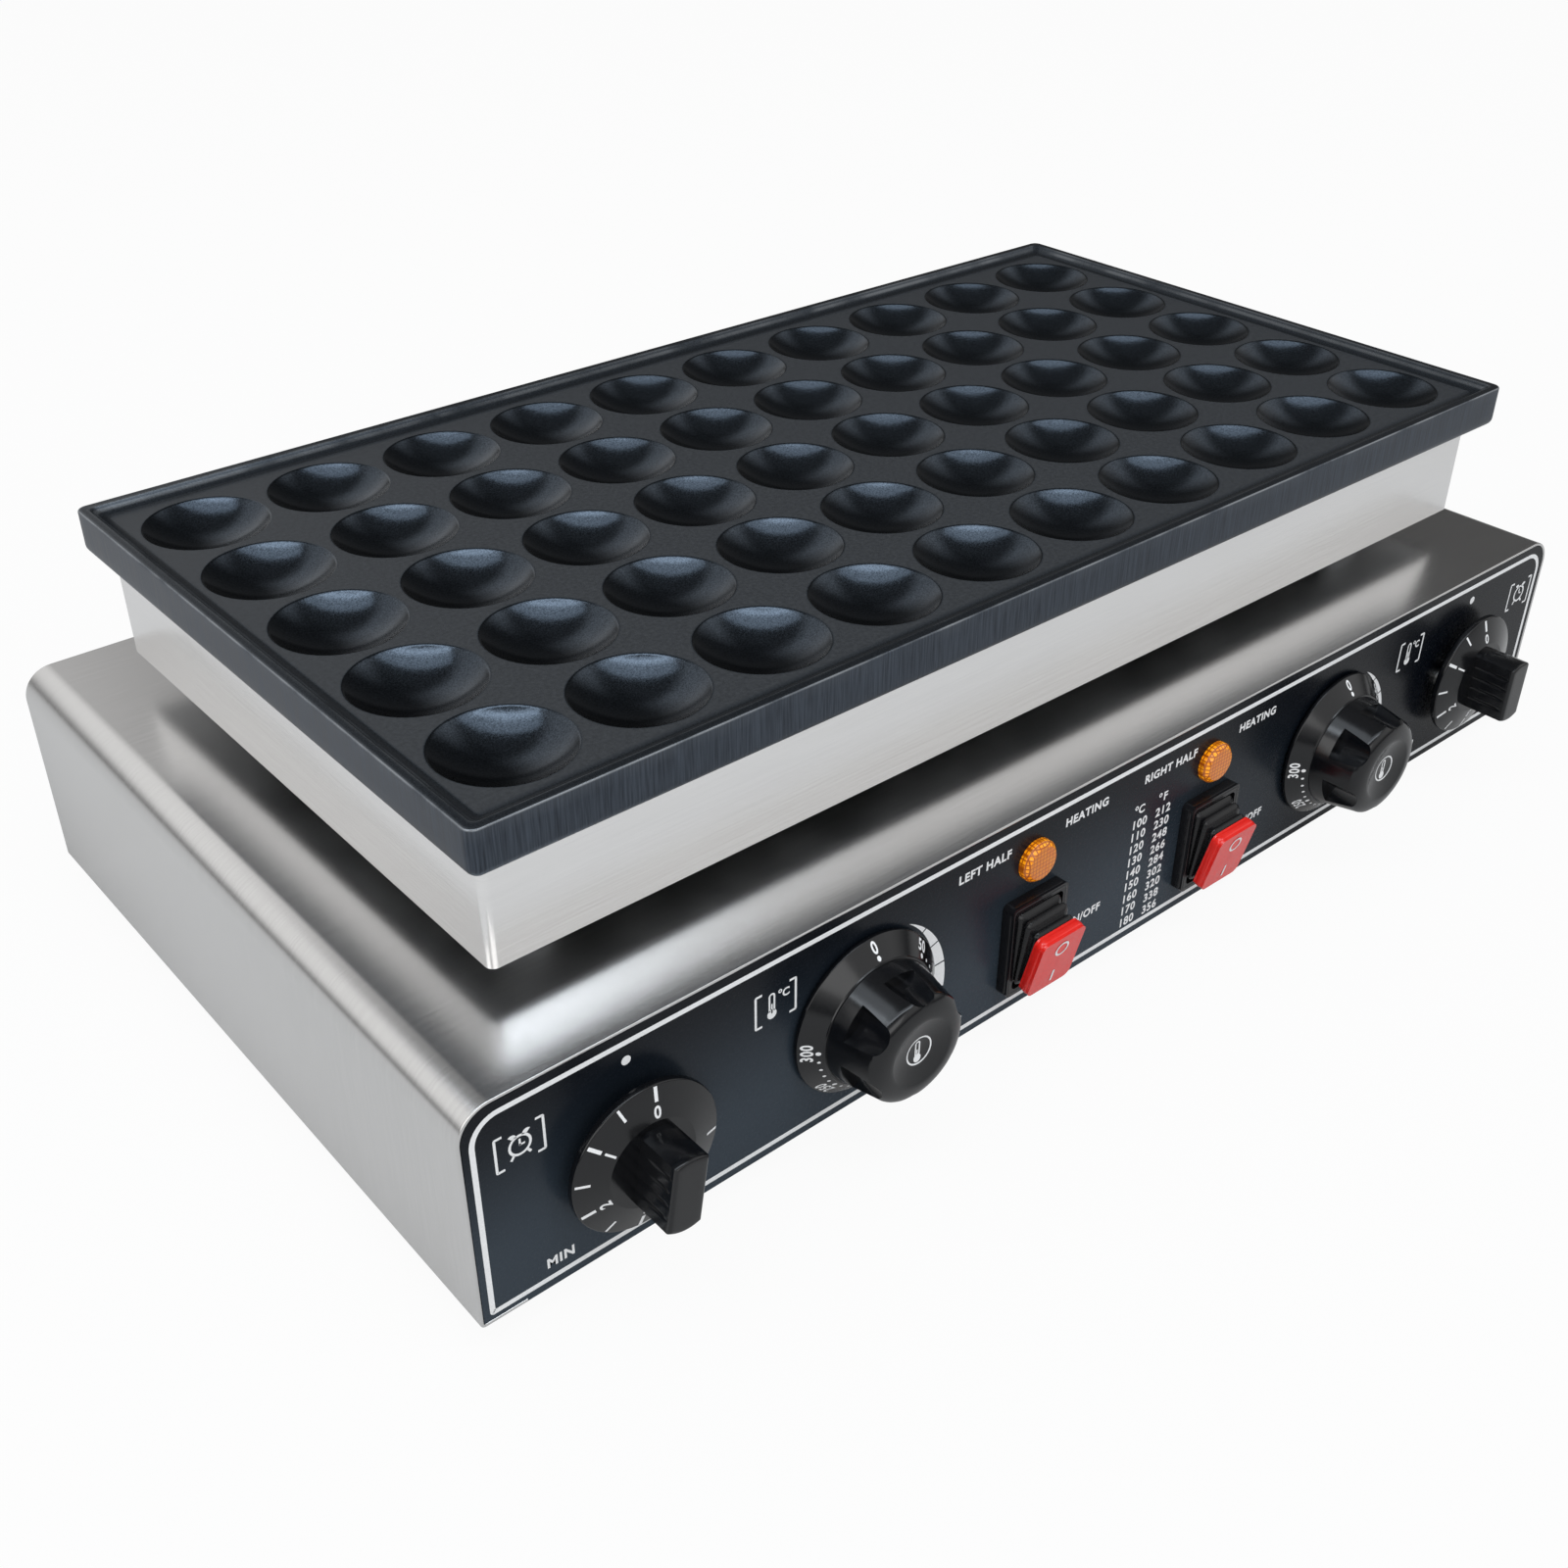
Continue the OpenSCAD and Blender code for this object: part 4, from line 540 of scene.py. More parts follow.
skirt = rounded_run([(0, 5.1), (26.2, 5.1), (27, 5.7), (27, 8.0), (16, 11.5), (0, 11.5)],
                    [0, 0.2, 0.4, 0.7, 1.0, 0], 5)
tick_inner, tick_outer, number_r, step_turn = 21.8, 26.4, 18.8, 30
for name, turn in (("left", -9.0), ("right", 0.0)):
    place = middle(f"timer_knob_{name}")
    knob = lay_knob(f"timer_knob_{name}", place, skirt, 96, bar_grip(turn))
    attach(knob, f"timer_dial_{name}")
    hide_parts(f"timer_knob_{name}")
    scale = []
    for step in range(10):
        angle = 90 + turn + step_turn * step
        c, s = bearing(angle)
        scale.append(ribbon([(tick_inner * c, tick_inner * s), (tick_outer * c, tick_outer * s)],
                            0.9 if step % 2 else 1.3))
        if step % 2 == 0:
            scale.append(lettering(str(step // 2), 3.8, 0.14, number_r * c, number_r * s, angle - 90))
    print_mesh(f"timer_scale_{name}", scale, cone_rise(27, 16, 8.0, 11.5), *place, f"timer_dial_{name}")


# Thermostat knobs: moulded black knobs with a wide printed skirt and a round grip with six flutes
# cut from the front. A shallow dish in the face holds a printed thermometer.
def dish_rise(flat):
    """Height of the dish's floor, which sinks towards its middle with the square of the radius."""
    return 26.5 + 1.9 * (np.linalg.norm(flat, axis=-1) / 12.75) ** 2


def fluted_grip():
    """The grip: its radius b falls from 23.5 to 20.5 up its side, then follows a quarter of an ellipse over the
    nose to 13. Six flute circles of radius r = 9 lie about points c = 27.2 from the axis. At an angle d from its
    middle a flute is met at c cos(d) - sqrt(r^2 - (c sin(d))^2), and its edges lie where
    cos(d) = (b^2 + c^2 - r^2) / (2 b c). Points are spread evenly between the edges. Below 14 there is no flute."""
    foot, flutes_from, shoulder, r, c = 8.2, 14.0, 24.5, 9.0, 27.2
    side = np.array([foot, 9.0, 11.5, 13.97, flutes_from, 16, 18, 20, 22, shoulder])
    arch = np.linspace(0, np.pi / 2, 11)[1:]
    height = np.append(side, shoulder + 4 * np.sin(arch))
    body = np.append(23.5 - 3 * (side - foot) / (shoulder - foot), 13 + 7.5 * np.cos(arch))[:, None]
    fluted = (height >= flutes_from)[:, None]
    edge = np.arccos(np.clip((body ** 2 + c ** 2 - r ** 2) / (2 * c * body), -1, 1))
    edge = np.maximum(np.where(fluted, edge, edge[np.argmax(fluted)]), 0.03)
    within = np.linspace(-1, 1, 17) * edge
    between = edge + np.linspace(0, 1, 11)[1:-1] * (np.pi / 3 - 2 * edge)
    bite = c * np.cos(within) - np.sqrt(np.clip(r ** 2 - (c * np.sin(within)) ** 2, 0, None))
    radius = np.concatenate([np.where(fluted, np.minimum(body, bite), body), body + 0 * between], 1)
    angle = (np.radians(84) + np.arange(6)[:, None] * np.pi / 3
             + np.concatenate([within, between], 1)[:, None]).reshape(len(height), -1)
    radius = np.broadcast_to(radius[:, None], (len(height), 6, radius.shape[1])).reshape(len(height), -1)
    dish = np.array([12.6, 12.0, 10.0, 7.0, 4.0, 0.0])
    radius = np.concatenate([0 * radius[:1], radius, dish[:, None] + 0 * radius[:1]])
    angle = np.concatenate([angle[:1], angle, np.repeat(angle[-1:], len(dish), 0)])
    level = np.concatenate([[foot], height, dish_rise(dish[:, None])])[:, None] + 0 * radius
    return np.stack([radius * np.cos(angle), radius * np.sin(angle), level], -1)


wide_skirt = rounded_run([(0, 0.7), (30.4, 0.7), (31, 1.2), (31, 2.4), (24.3, 7.9), (24.1, 8.4), (0, 8.4)],
                         [0, 0.2, 0.3, 0.5, 0.15, 0.2, 0], 5)
dot_r, number_r, first_turn, number_turn = 25.6, 28.6, 50, 43.8
for name in ("left", "right"):
    place = middle(f"thermostat_knob_{name}")
    knob = lay_knob(f"thermostat_knob_{name}", place, wide_skirt, 120, fluted_grip())
    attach(knob, f"thermostat_dial_{name}")
    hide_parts(f"thermostat_knob_{name}")
    scale = [lettering("0", 3.4, 0.12, 0, 28.7), ring_patch(0, dot_r, 0, 0.75, 0, 360, 16)]
    for step in range(26):
        angle = 90 - first_turn - number_turn * step / 5
        c, s = bearing(angle)
        scale.append(ring_patch(dot_r * c, dot_r * s, 0, 0.5 if step % 5 else 0.75, 0, 360, 12))
        if step % 5 == 0:
            scale.append(lettering(str(50 + 10 * step), 3.3, 0.12, number_r * c, number_r * s, angle - 90))
    print_mesh(f"thermostat_scale_{name}", scale, cone_rise(31, 24.3, 2.4, 7.9), *place, f"thermostat_dial_{name}")
    picture = [ring_patch(0, 0, 5.0, 5.6, 0, 360, 48), *thermometer_picture(-0.5, -0.2, 0.85)]
    print_mesh(f"thermostat_picture_{name}", picture, dish_rise, *place, f"thermostat_dial_{name}")


# Switches: a black frame clipped into the panel, a red rocker on a pivot inside it, and a soft
# black rubber boot in steps between the two that keeps batter and water out.
frame_black = finish("frame_black", (0.006, 0.006, 0.007), (0.008, 0.008, 0.010), 0.18, 0.24,
                     1600, 1e-6, Specular_IOR_Level=0.45)
boot_rubber = finish("boot_rubber", (0.006, 0.006, 0.007), (0.009, 0.009, 0.010), 0.22, 0.3,
                     1200, 2e-6, Specular_IOR_Level=0.35)
rocker_red = finish("rocker_red", (0.78, 0.014, 0.009), (0.84, 0.019, 0.012), 0.16, 0.2,
                    500, 2e-6, Coat_Weight=0.15, Coat_Roughness=0.1)
rest_tilt, pivot_out = 13.0, -1.0


def tipped(points, degrees):
    """Turns points about the rocker's pivot line, which runs along x behind the film: y and the distance
    out from the pivot turn by the angle, one angle for all or one for each point."""
    angle = np.radians(np.broadcast_to(degrees, points.shape[:-1]))
    y, out = points[..., 1], points[..., 2] - pivot_out
    return np.stack([points[..., 0], y * np.cos(angle) - out * np.sin(angle),
                     y * np.sin(angle) + out * np.cos(angle) + pivot_out], -1)


frame_rings = ringed(28.9, 39.8, 2.7, [
    (0.0, 0.1), (0.0, 3.4), (0.25, 4.4), (0.9, 5.02), (1.5, 5.12), (2.1, 4.97), (2.6, 4.5), (2.8, 3.6), (2.85, 2.2),
    (2.9, 0.1)])
cap_low, cap_edge = 11.25, 13.2
cap = tipped(ringed(22.3, 27.3, 3.1, (
    [(11.1, cap_low), (4.0, cap_low), (0.6, cap_low), (0.15, 11.4), (0.0, 11.8), (0.0, cap_edge)]
    + [(1.9 * (1 - np.cos(a)), cap_edge + 1.8 * np.sin(a)) for a in np.linspace(0.2, np.pi / 2, 7)]
    + [(4.5, 15.12), (7.5, 15.18), (11.1, 15.22)])), rest_tilt)
share, bulge = np.array([
    (0.0, 0.0), (0.0, 0.55), (0.04, 0.8), (0.12, 1.0), (0.2, 0.85), (0.26, 0.6), (0.3, 0.2), (0.33, 0.0),
    (0.36, 0.45), (0.4, 0.8), (0.47, 1.0), (0.55, 0.85), (0.6, 0.5), (0.64, 0.1), (0.67, 0.0),
    (0.7, 0.4), (0.75, 0.75), (0.82, 0.9), (0.9, 0.7), (1.0, 0.3)]).T
boot_fold, boot_wall = 3.0, 3.9
fold = boot_fold * (1 - bulge) * (share > 0)
sizes = np.stack([22.9 + share * (20.0 - 22.9) - fold, 33.9 + share * (25.0 - 33.9) - fold, 2.4 + share * 9.2], 1)
boot = np.stack([ring_at(w, l, 2.6, z) for w, l, z in sizes]
                + [ring_at(w - boot_wall, l - boot_wall, 1.4, z) for w, l, z in sizes[::-1]])
boot = tipped(boot, np.concatenate([share, share[::-1]])[:, None] * rest_tilt)
sign_level = 15.3
signs, sign_faces = joined(*((np.insert(flat, 2, sign_level, axis=1), corners) for flat, corners in (
    ring_patch(0, 7.2, 2.5, 3.4, 0, 360, 32), ribbon([(0, -10.2), (0, -4.4)], 1.0))))
signs = tipped(signs, rest_tilt)
for name in ("left", "right"):
    place = middle(f"switch_housing_{name}")
    housing_frame = lay_grid(f"switch_frame_{name}", on_panel(frame_rings, *place), frame_black,
                             wrap_rows=True, wrap_columns=True)
    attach(housing_frame, "housing")

    rocker = lay_grid(f"rocker_cap_{name}", on_panel(cap, *place), rocker_red, wrap_columns=True)
    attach(rocker, f"rocker_{name}")

    boot_piece = lay_grid(f"switch_boot_{name}_bellows", on_panel(boot, *place), boot_rubber,
                          wrap_rows=True, wrap_columns=True)
    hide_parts(f"switch_boot_{name}")
    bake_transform(boot_piece)

    sign_mesh, _ = lay_mesh(f"rocker_signs_{name}", on_panel(signs, *place), sign_faces, white_ink)
    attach(sign_mesh, f"rocker_{name}")
    dress(frame_black, f"switch_housing_{name}")
    dress(rocker_red, f"switch_rocker_{name}")


# Lamps: amber moulded lenses that push over the bodies of the pilot lamps behind the film.
# The inside of each lens has a grid of small pyramids that breaks up the light; the cells' bright middles and dark
# edges are painted.
amber = finish("amber", (0.88, 0.26, 0.003), (1.0, 0.40, 0.006), 0.14, 0.22, 260, 2e-4,
               Coat_Weight=0.2, Coat_Roughness=0.06, Emission_Strength=0.4)
tree = amber.node_tree
shader, grain, relief = (tree.nodes[title] for title in ("Principled BSDF", "grain", "relief"))
place, pyramids, painted_grid_shade = add_nodes(tree, "TexCoord", "TexVoronoi", "Mix")
pyramids.distance, painted_grid_shade.data_type = "CHEBYCHEV", "RGBA"
preset(pyramids, Randomness=0.0, Scale=620.0)
# Painted light and shade: each pyramid cell is bright amber at its middle and dark brown at its edges, in colour and
# glow alike.
preset(painted_grid_shade, B=(0.25, 0.045, 0.001, 1))
connect(tree, (place, "Object", pyramids, "Vector"),
        (ramp(tree, pyramids, "Distance", 0.2, 0.5), "Result", painted_grid_shade, "Factor"), (grain, "Color", painted_grid_shade, "A"),
        (painted_grid_shade, "Result", shader, "Base Color"), (painted_grid_shade, "Result", shader, "Emission Color"),
        (pyramids, "Distance", relief, "Height"))
lens = rounded_run([(0, 0.1), (8.2, 0.1), (8.2, 2.4), (6.6, 4.2), (0, 4.2)], [0, 0.1, 0.5, 0.6, 0], 6)
for name in ("left", "right"):
    lens_piece = lay_grid(f"lamp_lens_{name}_moulding", on_panel(turned(lens, 64), *middle(f"lamp_lens_{name}")), amber,
                          wrap_rows=True)
    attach(lens_piece, "housing")
    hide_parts(f"lamp_lens_{name}")


# Parts inside the base: timer and thermostat bodies, lamp bodies and terminal block are mouldings,
# and sleeved wires join them. They sit behind the panel on screws and clips.
porcelain = finish("porcelain", (0.74, 0.72, 0.66), (0.84, 0.82, 0.77), 0.3, 0.45, 300, 1e-5)
wire_sleeve = finish("wire_sleeve", (0.62, 0.60, 0.54), (0.74, 0.72, 0.66), 0.55, 0.7, 2000, 4e-5)
for control in ("timer", "thermostat"):
    for name in ("left", "right"):
        dress(moulded_black, f"{control}_body_{name}")
        dress(plated_steel, f"{control}_shaft_{name}", f"{control}_spring_{name}")
dress(plated_steel, "control_screws", "lamp_nuts")
dress(porcelain, "lamp_bodies", "terminal_block", "element_beads", "wire_bushes")
dress(wire_sleeve, "wiring")


# Head casing: four steel walls folded and welded to a ring, with a flange turned in under the plate.
# It stands on spacers above the base, so an air gap keeps the base cool.
head_low, head_high = np.array(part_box("head_casing"))
head_w, head_d, head_h = (head_high - head_low) / mm
head_sheet, head_flange, head_corner = 1.2, 14.0, 3.0
head_steel = brushed_finish("head_steel", (30, 30, 2600), (0.80, 0.795, 0.79), (0.86, 0.855, 0.85), rough=0.27)
head_rings = ringed(head_w, head_d, head_corner, [
    (0.35, 0.0), (0.0, 0.35), (0.0, 8.0), (0.0, head_h / 2), (0.0, head_h - 1.2), (0.1, head_h - 0.7),
    (0.35, head_h - 0.3), (0.8, head_h), (head_flange, head_h), (head_flange, head_h - head_sheet),
    (head_sheet, head_h - head_sheet), (head_sheet, 0.0)])
head_rings = head_rings * mm + [0, 0, head_low[2]]
head = lay_grid("head_casing_sheet", head_rings, head_steel, wrap_rows=True, wrap_columns=True)
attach(head, "housing")
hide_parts("head_casing")
dress(zinc_sheet, "head_floor", "spacers", "reflector")


# Heating: two bent tubular elements clamped against the underside of the plate by bars, studs and nuts,
# over a mineral wool slab and a reflector sheet. The thermostat bulbs lie between their legs.
element_steel = finish("element_steel", (0.16, 0.15, 0.14), (0.26, 0.25, 0.24), 0.38, 0.55, 400, 1e-5, Metallic=1.0)
mineral_wool = finish("mineral_wool", (0.56, 0.53, 0.44), (0.72, 0.70, 0.62), 0.85, 0.95, 500, 4e-4, detail=6.0)
copper = finish("copper", (0.48, 0.19, 0.10), (0.64, 0.30, 0.17), 0.28, 0.4, 400, 1e-5, Metallic=1.0)
dress(element_steel, "heating_element_left", "heating_element_right")
dress(plated_steel, "clamp_bars", "clamp_studs", "clamp_nuts", "tie_studs", "tie_nuts")
dress(mineral_wool, "insulation_slab")
dress(copper, "thermostat_bulb_left", "thermostat_bulb_right")


# Cooking plate: one dark coated casting with fifty round shallow cups and a raised rim all round.
# Its sides are ground, so they are greyer and show fine upright scratches; its outer edge is worn bright, and light
# lines on the rim's inner slope are painted highlights.
plate_low, plate_high = np.array(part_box("cooking_plate"))
plate_size = (plate_high - plate_low)[:2] / mm
pitch, columns, rows_of_cups, spokes = 49.0, 10, 5, 48
rim_tall, rim_flat, rim_end, plate_corner = 3.0, 3.4, 8.6, 4.0
top_z, bottom_z = plate_high[2] / mm, head_high[2] / mm
land_z = top_z - rim_tall
ball_r, cup_deep = 32.625, 9.0


def soft_least(a, b, k):
    """The smaller of two surfaces with the edge between them rounded: within k of each other the least
    sinks by up to a quarter of k."""
    near = np.maximum(k - np.abs(a - b), 0) / k
    return np.minimum(a, b) - near * near * k / 4


def rim_rise(inset):
    """Height of the rim over the land at a distance from the plate's edge: flat as far as 3.4, then it falls
    in a hollow curve, the power 1.8 of what is left of the way, to nothing at 8.6."""
    return rim_tall * np.clip((rim_end - inset) / (rim_end - rim_flat), 0, 1) ** 1.8


def plate_top(radius):
    """Height of the top face at a distance from a cup's middle: the lower of the land and a ball of radius
    32.6 whose lowest point is 9 deep, with the mouth a little rounded."""
    ball = (ball_r - cup_deep) - np.sqrt(np.clip(ball_r ** 2 - np.minimum(radius, 30) ** 2, 0, None))
    return land_z + soft_least(ball, np.zeros_like(ball), 0.35)


def cell_middles(count):
    """Places of the middles of a row of square cells, about the plate's own middle."""
    return (np.arange(count) - (count - 1) / 2) * pitch


def cup_cells():
    """All the cups at once: in each square cell a polar grid runs from the middle over the mouth to the
    square's edge, where the last ring takes the square's own outline."""
    angle = np.radians(np.arange(spokes) * 360 / spokes)
    rings = np.concatenate([[0], np.linspace(2, 20, 10), [20.8, 21.4, 21.8, 22.1, 22.35, 22.6, 22.9, 23.3, 23.8]])
    square = pitch / 2 / np.maximum(np.abs(np.cos(angle)), np.abs(np.sin(angle)))
    radius = np.concatenate([np.repeat(rings[None], spokes, 0),
                             np.stack([(square + rings[-1]) / 2, square], 1)], 1)
    x = cell_middles(columns)[:, None, None, None] + radius * np.cos(angle)[:, None]
    y = cell_middles(rows_of_cups)[:, None, None] + radius * np.sin(angle)[:, None]
    x, y = np.broadcast_arrays(x, y)
    z = plate_top(np.broadcast_to(radius, x.shape))
    cell = grid_faces(*radius.shape, wrap_rows=True)
    faces = (np.arange(columns * rows_of_cups)[:, None, None] * radius.size + cell).reshape(-1, 4)
    lip, lip_fade = 23.1, 0.5
    inside = np.broadcast_to(np.clip((lip - radius) / lip_fade, 0, 1), x.shape)
    return np.stack([x, y, z], -1).reshape(-1, 3), faces, inside.reshape(-1)


def border_ring(inset, level, corner):
    """One ring round the field of cups, set in from the plate's edges, with rounded corners: its straight sides
    keep the spacing of the cells' edges, stretched to the ring's length, and eight steps go round each corner."""
    half = plate_size / 2 - inset
    spread = pitch / 2 * np.tan(np.radians(np.arange(-45, 45, 360 / spokes)))
    turn = np.linspace(0, np.pi / 2, 9)[1:-1]
    sides = []
    for quarter in range(4):
        count, far = ((columns, half[0]), (rows_of_cups, half[1]))[quarter % 2]
        reach, field = half[1 - quarter % 2], count * pitch / 2
        run = np.append(cell_middles(count)[:, None] + spread, field) / field * (far - corner)
        straight = np.stack([run, np.full_like(run, -reach)], -1)
        arc = np.stack([far - corner + corner * np.sin(turn), -reach + corner - corner * np.cos(turn)], -1)
        c, s = bearing(90 * quarter)
        sides.append(np.concatenate([straight, arc]) @ np.array([[c, s], [-s, c]]))
    return np.insert(np.concatenate(sides), 2, level, axis=1)


field_inset = (plate_size - pitch * np.array([columns, rows_of_cups])) / 2
insets = np.array([8.6, 8.1, 7.4, 6.7, 6.0, 5.3, 4.7, 4.2, 3.8, 3.5, 3.3, 3.0, 2.4, 1.4])
edge_round, foot_round = 0.8, 3.5
curve, foot_curve = np.linspace(0.1, 1, 6) * np.pi / 2, np.linspace(0, 1, 6)[1:] * np.pi / 2
border_levels = ([(i, land_z + rim_rise(i)) for i in insets]
                 + [(edge_round * (1 - np.sin(a)), top_z - edge_round * (1 - np.cos(a))) for a in curve]
                 + [(0.0, top_z - 5), (0.0, top_z - 10), (0.0, bottom_z + foot_round)]
                 + [(foot_round * (1 - np.cos(a)), bottom_z + foot_round * (1 - np.sin(a))) for a in foot_curve]
                 + [(20.0, bottom_z)])
border = np.stack([border_ring(field_inset, land_z, 0.0)]
                  + [border_ring(i, z, max(plate_corner - i, 2.4)) for i, z in border_levels])
border = np.concatenate([border, border[-1:] * [0, 0, 1]])
cups, cup_faces, inside = cup_cells()
points, faces = joined((cups, cup_faces), (border, grid_faces(*border.shape[:2], wrap_columns=True)))
# Each ring's share of worn metal and painted highlight, of ground side and of the cups' darker coat. The wear is a line
# round the outer edge; the two light lines along the rim's inner slope are painted highlights.
ring_wear_and_highlight, ring_side, ring_dark = np.zeros((3, len(border)))
edge_rows = len(insets) + 1 + np.arange(len(curve))
ring_wear_and_highlight[edge_rows] = 0.75 * np.exp(-((np.arange(len(curve)) - 2.5) / 1.6) ** 2)
# Painted highlights: two light lines along the rim's inner slope, where its curve would catch the overhead light.
ring_wear_and_highlight[1:len(insets) + 1] = (0.6 * np.exp(-((insets - 3.4) / 0.3) ** 2)
                                + 0.65 * np.exp(-((insets - 5.0) / 0.5) ** 2))
ring_side[edge_rows[2]:] = 1.0
ring_dark[1:edge_rows[2]] = 0.8
worn_and_highlight, ground, sunk = (np.concatenate([start, np.repeat(ring, border.shape[1])]) for start, ring in (
    (0 * inside, ring_wear_and_highlight), (0 * inside, ring_side), (inside, ring_dark)))

coated_casting = finish("coated_casting", (0.023, 0.026, 0.030), (0.032, 0.036, 0.041), 0.44, 0.56,
                        700, 1.8e-5, detail=5.0)
tree = coated_casting.node_tree
shader, grain = tree.nodes["Principled BSDF"], tree.nodes["grain"]
scratches = grain_node(tree, (0.020, 0.026, 0.036), (0.060, 0.075, 0.098), 0.3, 0.45, (1500, 1500, 60))
speckle = grain_node(tree, (0.026, 0.032, 0.040), (0.066, 0.080, 0.098), 0.15, 0.21, 1900)


def read_note(tree, title):
    """The value that a piece's mesh stores under a title."""
    reader, = add_nodes(tree, "Attribute")
    reader.attribute_name = title
    return reader.outputs["Fac"]


def feed(tree, source, socket):
    """Gives an input what it takes: a link from another socket, or a plain value."""
    if isinstance(source, bpy.types.NodeSocket):
        tree.links.new(source, socket)
    else:
        socket.default_value = source


def mixed(tree, kind, factor, a, b):
    """A mix of two colours or of two values, each a socket or a plain value."""
    mix, = add_nodes(tree, "Mix")
    mix.data_type = kind
    for socket, source in (("Factor", factor), ("A", a), ("B", b)):
        feed(tree, source, mix.inputs[socket])
    return mix.outputs["Result"]


wear_and_highlight_mask, ground_mask, sunk_mask = (read_note(tree, title) for title in ("worn_and_highlight", "ground", "sunk"))
placed, patches, patchy = add_nodes(tree, "TexCoord", "TexNoise", "Math")
patchy.operation = "MULTIPLY"
preset(patches, Scale=45.0, Detail=4.0)
connect(tree, (placed, "Object", patches, "Vector"), (ramp(tree, patches, "Fac", 0.25, 0.6), "Result", patchy, 0))
tree.links.new(wear_and_highlight_mask, patchy.inputs[1])
colour = mixed(tree, "RGBA", sunk_mask, grain.outputs["Color"], speckle.outputs["Color"])
colour = mixed(tree, "RGBA", ground_mask, colour, scratches.outputs["Color"])
# Bright bare metal at the worn outer edge, and painted highlight lines on the rim's inner slope.
colour = mixed(tree, "RGBA", patchy.outputs["Value"], colour, (0.34, 0.36, 0.38, 1))
roughness = mixed(tree, "FLOAT", sunk_mask, grain.outputs["Roughness"], speckle.outputs["Roughness"])
roughness = mixed(tree, "FLOAT", ground_mask, roughness, scratches.outputs["Roughness"])
metal = mixed(tree, "FLOAT", ground_mask, mixed(tree, "FLOAT", sunk_mask, 0.0, 1.0), 0.65)
for source, socket in ((colour, "Base Color"), (roughness, "Roughness"), (metal, "Metallic")):
    tree.links.new(source, shader.inputs[socket])
plate, kept = lay_mesh("cooking_plate_casting", points * mm, faces, coated_casting, crease=50)
for title, values in (("worn_and_highlight", worn_and_highlight), ("ground", ground), ("sunk", sunk)):
    note(plate, title, values[kept])
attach(plate, "housing")
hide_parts("cooking_plate")


# Studio: a wide pale floor under three narrow overhead lights, with two weaker ones to the left and in front.
# The camera stands in front to the left, above the plate, as in the photograph.
floor_mesh, floor_reach = bpy.data.meshes.new("studio_floor"), 8.0
floor_corners = np.array([[-1, -1, 0], [1, -1, 0], [1, 1, 0], [-1, 1, 0]]) * floor_reach
floor_mesh.from_pydata(floor_corners.tolist(), [], [(0, 1, 2, 3)])
studio_floor = shown("studio_floor", floor_mesh)


def ray_sum(tree, *shares):
    """The sum, over the kinds of ray, of one for that kind times its share, a number or a socket."""
    path, total = *add_nodes(tree, "LightPath"), 0.0
    for kind, share in shares:
        add, = add_nodes(tree, "Math")
        add.operation = "MULTIPLY_ADD"
        connect(tree, (path, kind, add, 0))
        feed(tree, share, add.inputs[1])
        feed(tree, total, add.inputs[2])
        total = add.outputs["Value"]
    return total


floor_white = bpy.data.materials.new("floor_white")
floor_white.use_nodes = True
tree = floor_white.node_tree
tree.nodes.remove(tree.nodes["Principled BSDF"])
pale, glow, kept_shadow = add_nodes(tree, "BsdfDiffuse", "Emission", "MixShader")
preset(pale, Color=(0.62, 0.615, 0.61, 1))
preset(glow, Color=(1, 1, 1, 1), Strength=1.0)
white = ray_sum(tree, ("Is Camera Ray", 0.94), ("Is Glossy Ray", 0.15), ("Is Transmission Ray", 0.15))
tree.links.new(white, kept_shadow.inputs["Fac"])
connect(tree, (pale, 0, kept_shadow, 1), (glow, 0, kept_shadow, 2),
        (kept_shadow, 0, tree.nodes["Material Output"], "Surface"))
floor_mesh.materials.append(floor_white)

# The backdrop is white to the camera. Reflections see it darker to the back right, straight above and along
# the horizon, as in a studio with black cards there: the coated cups stay dark and the bends show a dark band.
scene, world = bpy.context.scene, bpy.data.worlds.new("studio_world")
scene.world = world
world.use_nodes = True
tree = world.node_tree
backdrop = tree.nodes["Background"]
preset(backdrop, Color=(1.0, 0.995, 0.99, 1))
backdrop_way, facing, rise, above, level, carded, least = add_nodes(
    tree, "TexCoord", "VectorMath", "SeparateXYZ", "Math", "Math", "Math", "Math")
card_way, lit_above, least_light = (0.75, 0.55, 0.37), 0.2, 0.1
facing.operation, facing.inputs[1].default_value = "DOT_PRODUCT", card_way
above.operation = "MULTIPLY_ADD"
above.inputs[1].default_value, above.inputs[2].default_value = 1 - lit_above, lit_above
level.operation = carded.operation = "MULTIPLY"
least.operation, least.inputs[1].default_value = "MAXIMUM", least_light
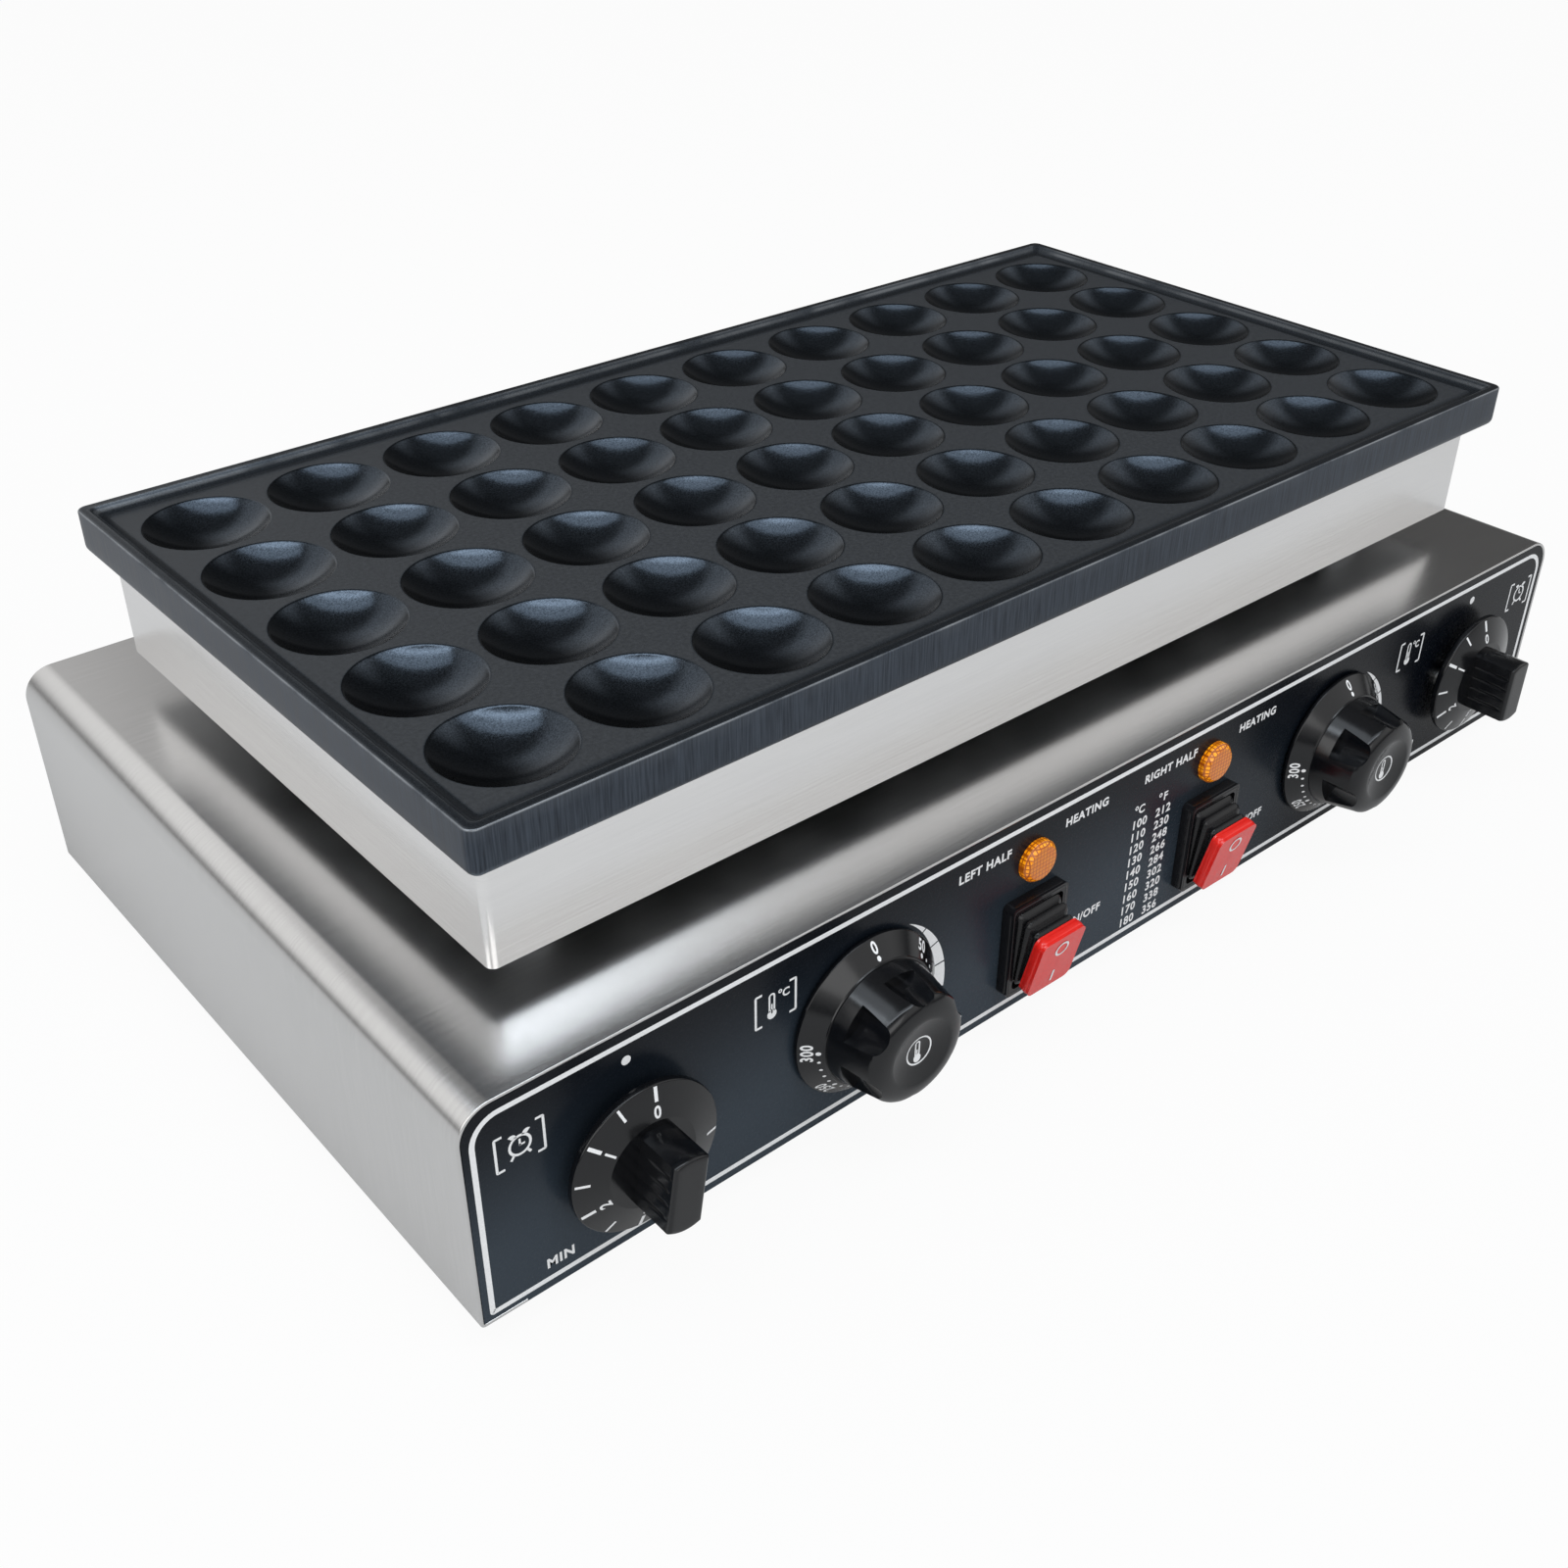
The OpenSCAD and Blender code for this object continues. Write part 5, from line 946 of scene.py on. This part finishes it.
connect(tree, (backdrop_way, "Generated", facing, 0), (backdrop_way, "Generated", rise, 0),
        (ramp(tree, rise, "Z", 0.86, 0.66), "Result", above, 0),
        (ramp(tree, rise, "Z", -0.05, 0.34), "Result", level, 0), (above, "Value", level, 1),
        (ramp(tree, facing, "Value", 0.97, 0.66), "Result", carded, 0), (level, "Value", carded, 1),
        (least, "Value", backdrop, "Strength"))
tree.links.new(ray_sum(tree, ("Is Camera Ray", 1.0), ("Is Diffuse Ray", 0.62), ("Is Transmission Ray", 1.0),
                       ("Is Glossy Ray", carded.outputs["Value"])), least.inputs[0])


def stood(right, up, back, place):
    """The matrix of something that stands at a place, with its own axes along three directions."""
    whole = np.eye(4)
    whole[:3] = np.stack([right, up, back, place], 1)
    return Matrix(whole.tolist())


def softbox(name, place, target, size, power, tint=(1, 1, 1), upright=(0, 0, 1)):
    """A rectangular light at a place, facing a target: its -Z axis points along the line between them, and its
    Y axis lies as near as it can to upright."""
    lamp = bpy.data.lights.new(name, "AREA")
    lamp.shape, lamp.size, lamp.size_y, lamp.energy, lamp.color = "RECTANGLE", *size, power, tint
    back = np.array(place, float) - np.array(target, float)
    back /= np.linalg.norm(back)
    right = np.cross(upright, back)
    right /= np.linalg.norm(right)
    shown(name, lamp).matrix_world = stood(right, np.cross(back, right), back, place)


sky_tint, view_line, overhead_size, overhead_z, plate_z = (0.84, 0.92, 1.0), (0.648, 0.761, 0), (3.6, 0.36), 2.5, 0.16
for name, along, power in (("near_overhead", -0.86, 23), ("middle_overhead", -0.50, 7), ("far_overhead", -0.20, 8)):
    over = (along * view_line[0], along * view_line[1])
    softbox(name, (*over, overhead_z), (*over, plate_z), overhead_size, power, sky_tint, view_line)
softbox("left_softbox", (-1.7, -0.3, 0.9), (0, 0, 0.1), (0.9, 1.2), 5)
softbox("front_softbox", (-0.7, -1.8, 1.0), (0, 0, 0.1), (1.4, 0.8), 5)

lens_data = bpy.data.cameras.new("camera")
lens_data.sensor_width, lens_data.lens = 36.0, 40.44
camera = shown("camera", lens_data)
right, up, ahead = (0.76242, -0.64708, 0.00252), (0.35607, 0.42278, 0.83335), (0.54031, 0.63447, -0.55274)
camera.matrix_world = stood(right, up, -np.array(ahead), np.array([-438.9, -480.4, 436.1]) * mm)
scene.camera = camera
scene.view_settings.view_transform = "Standard"
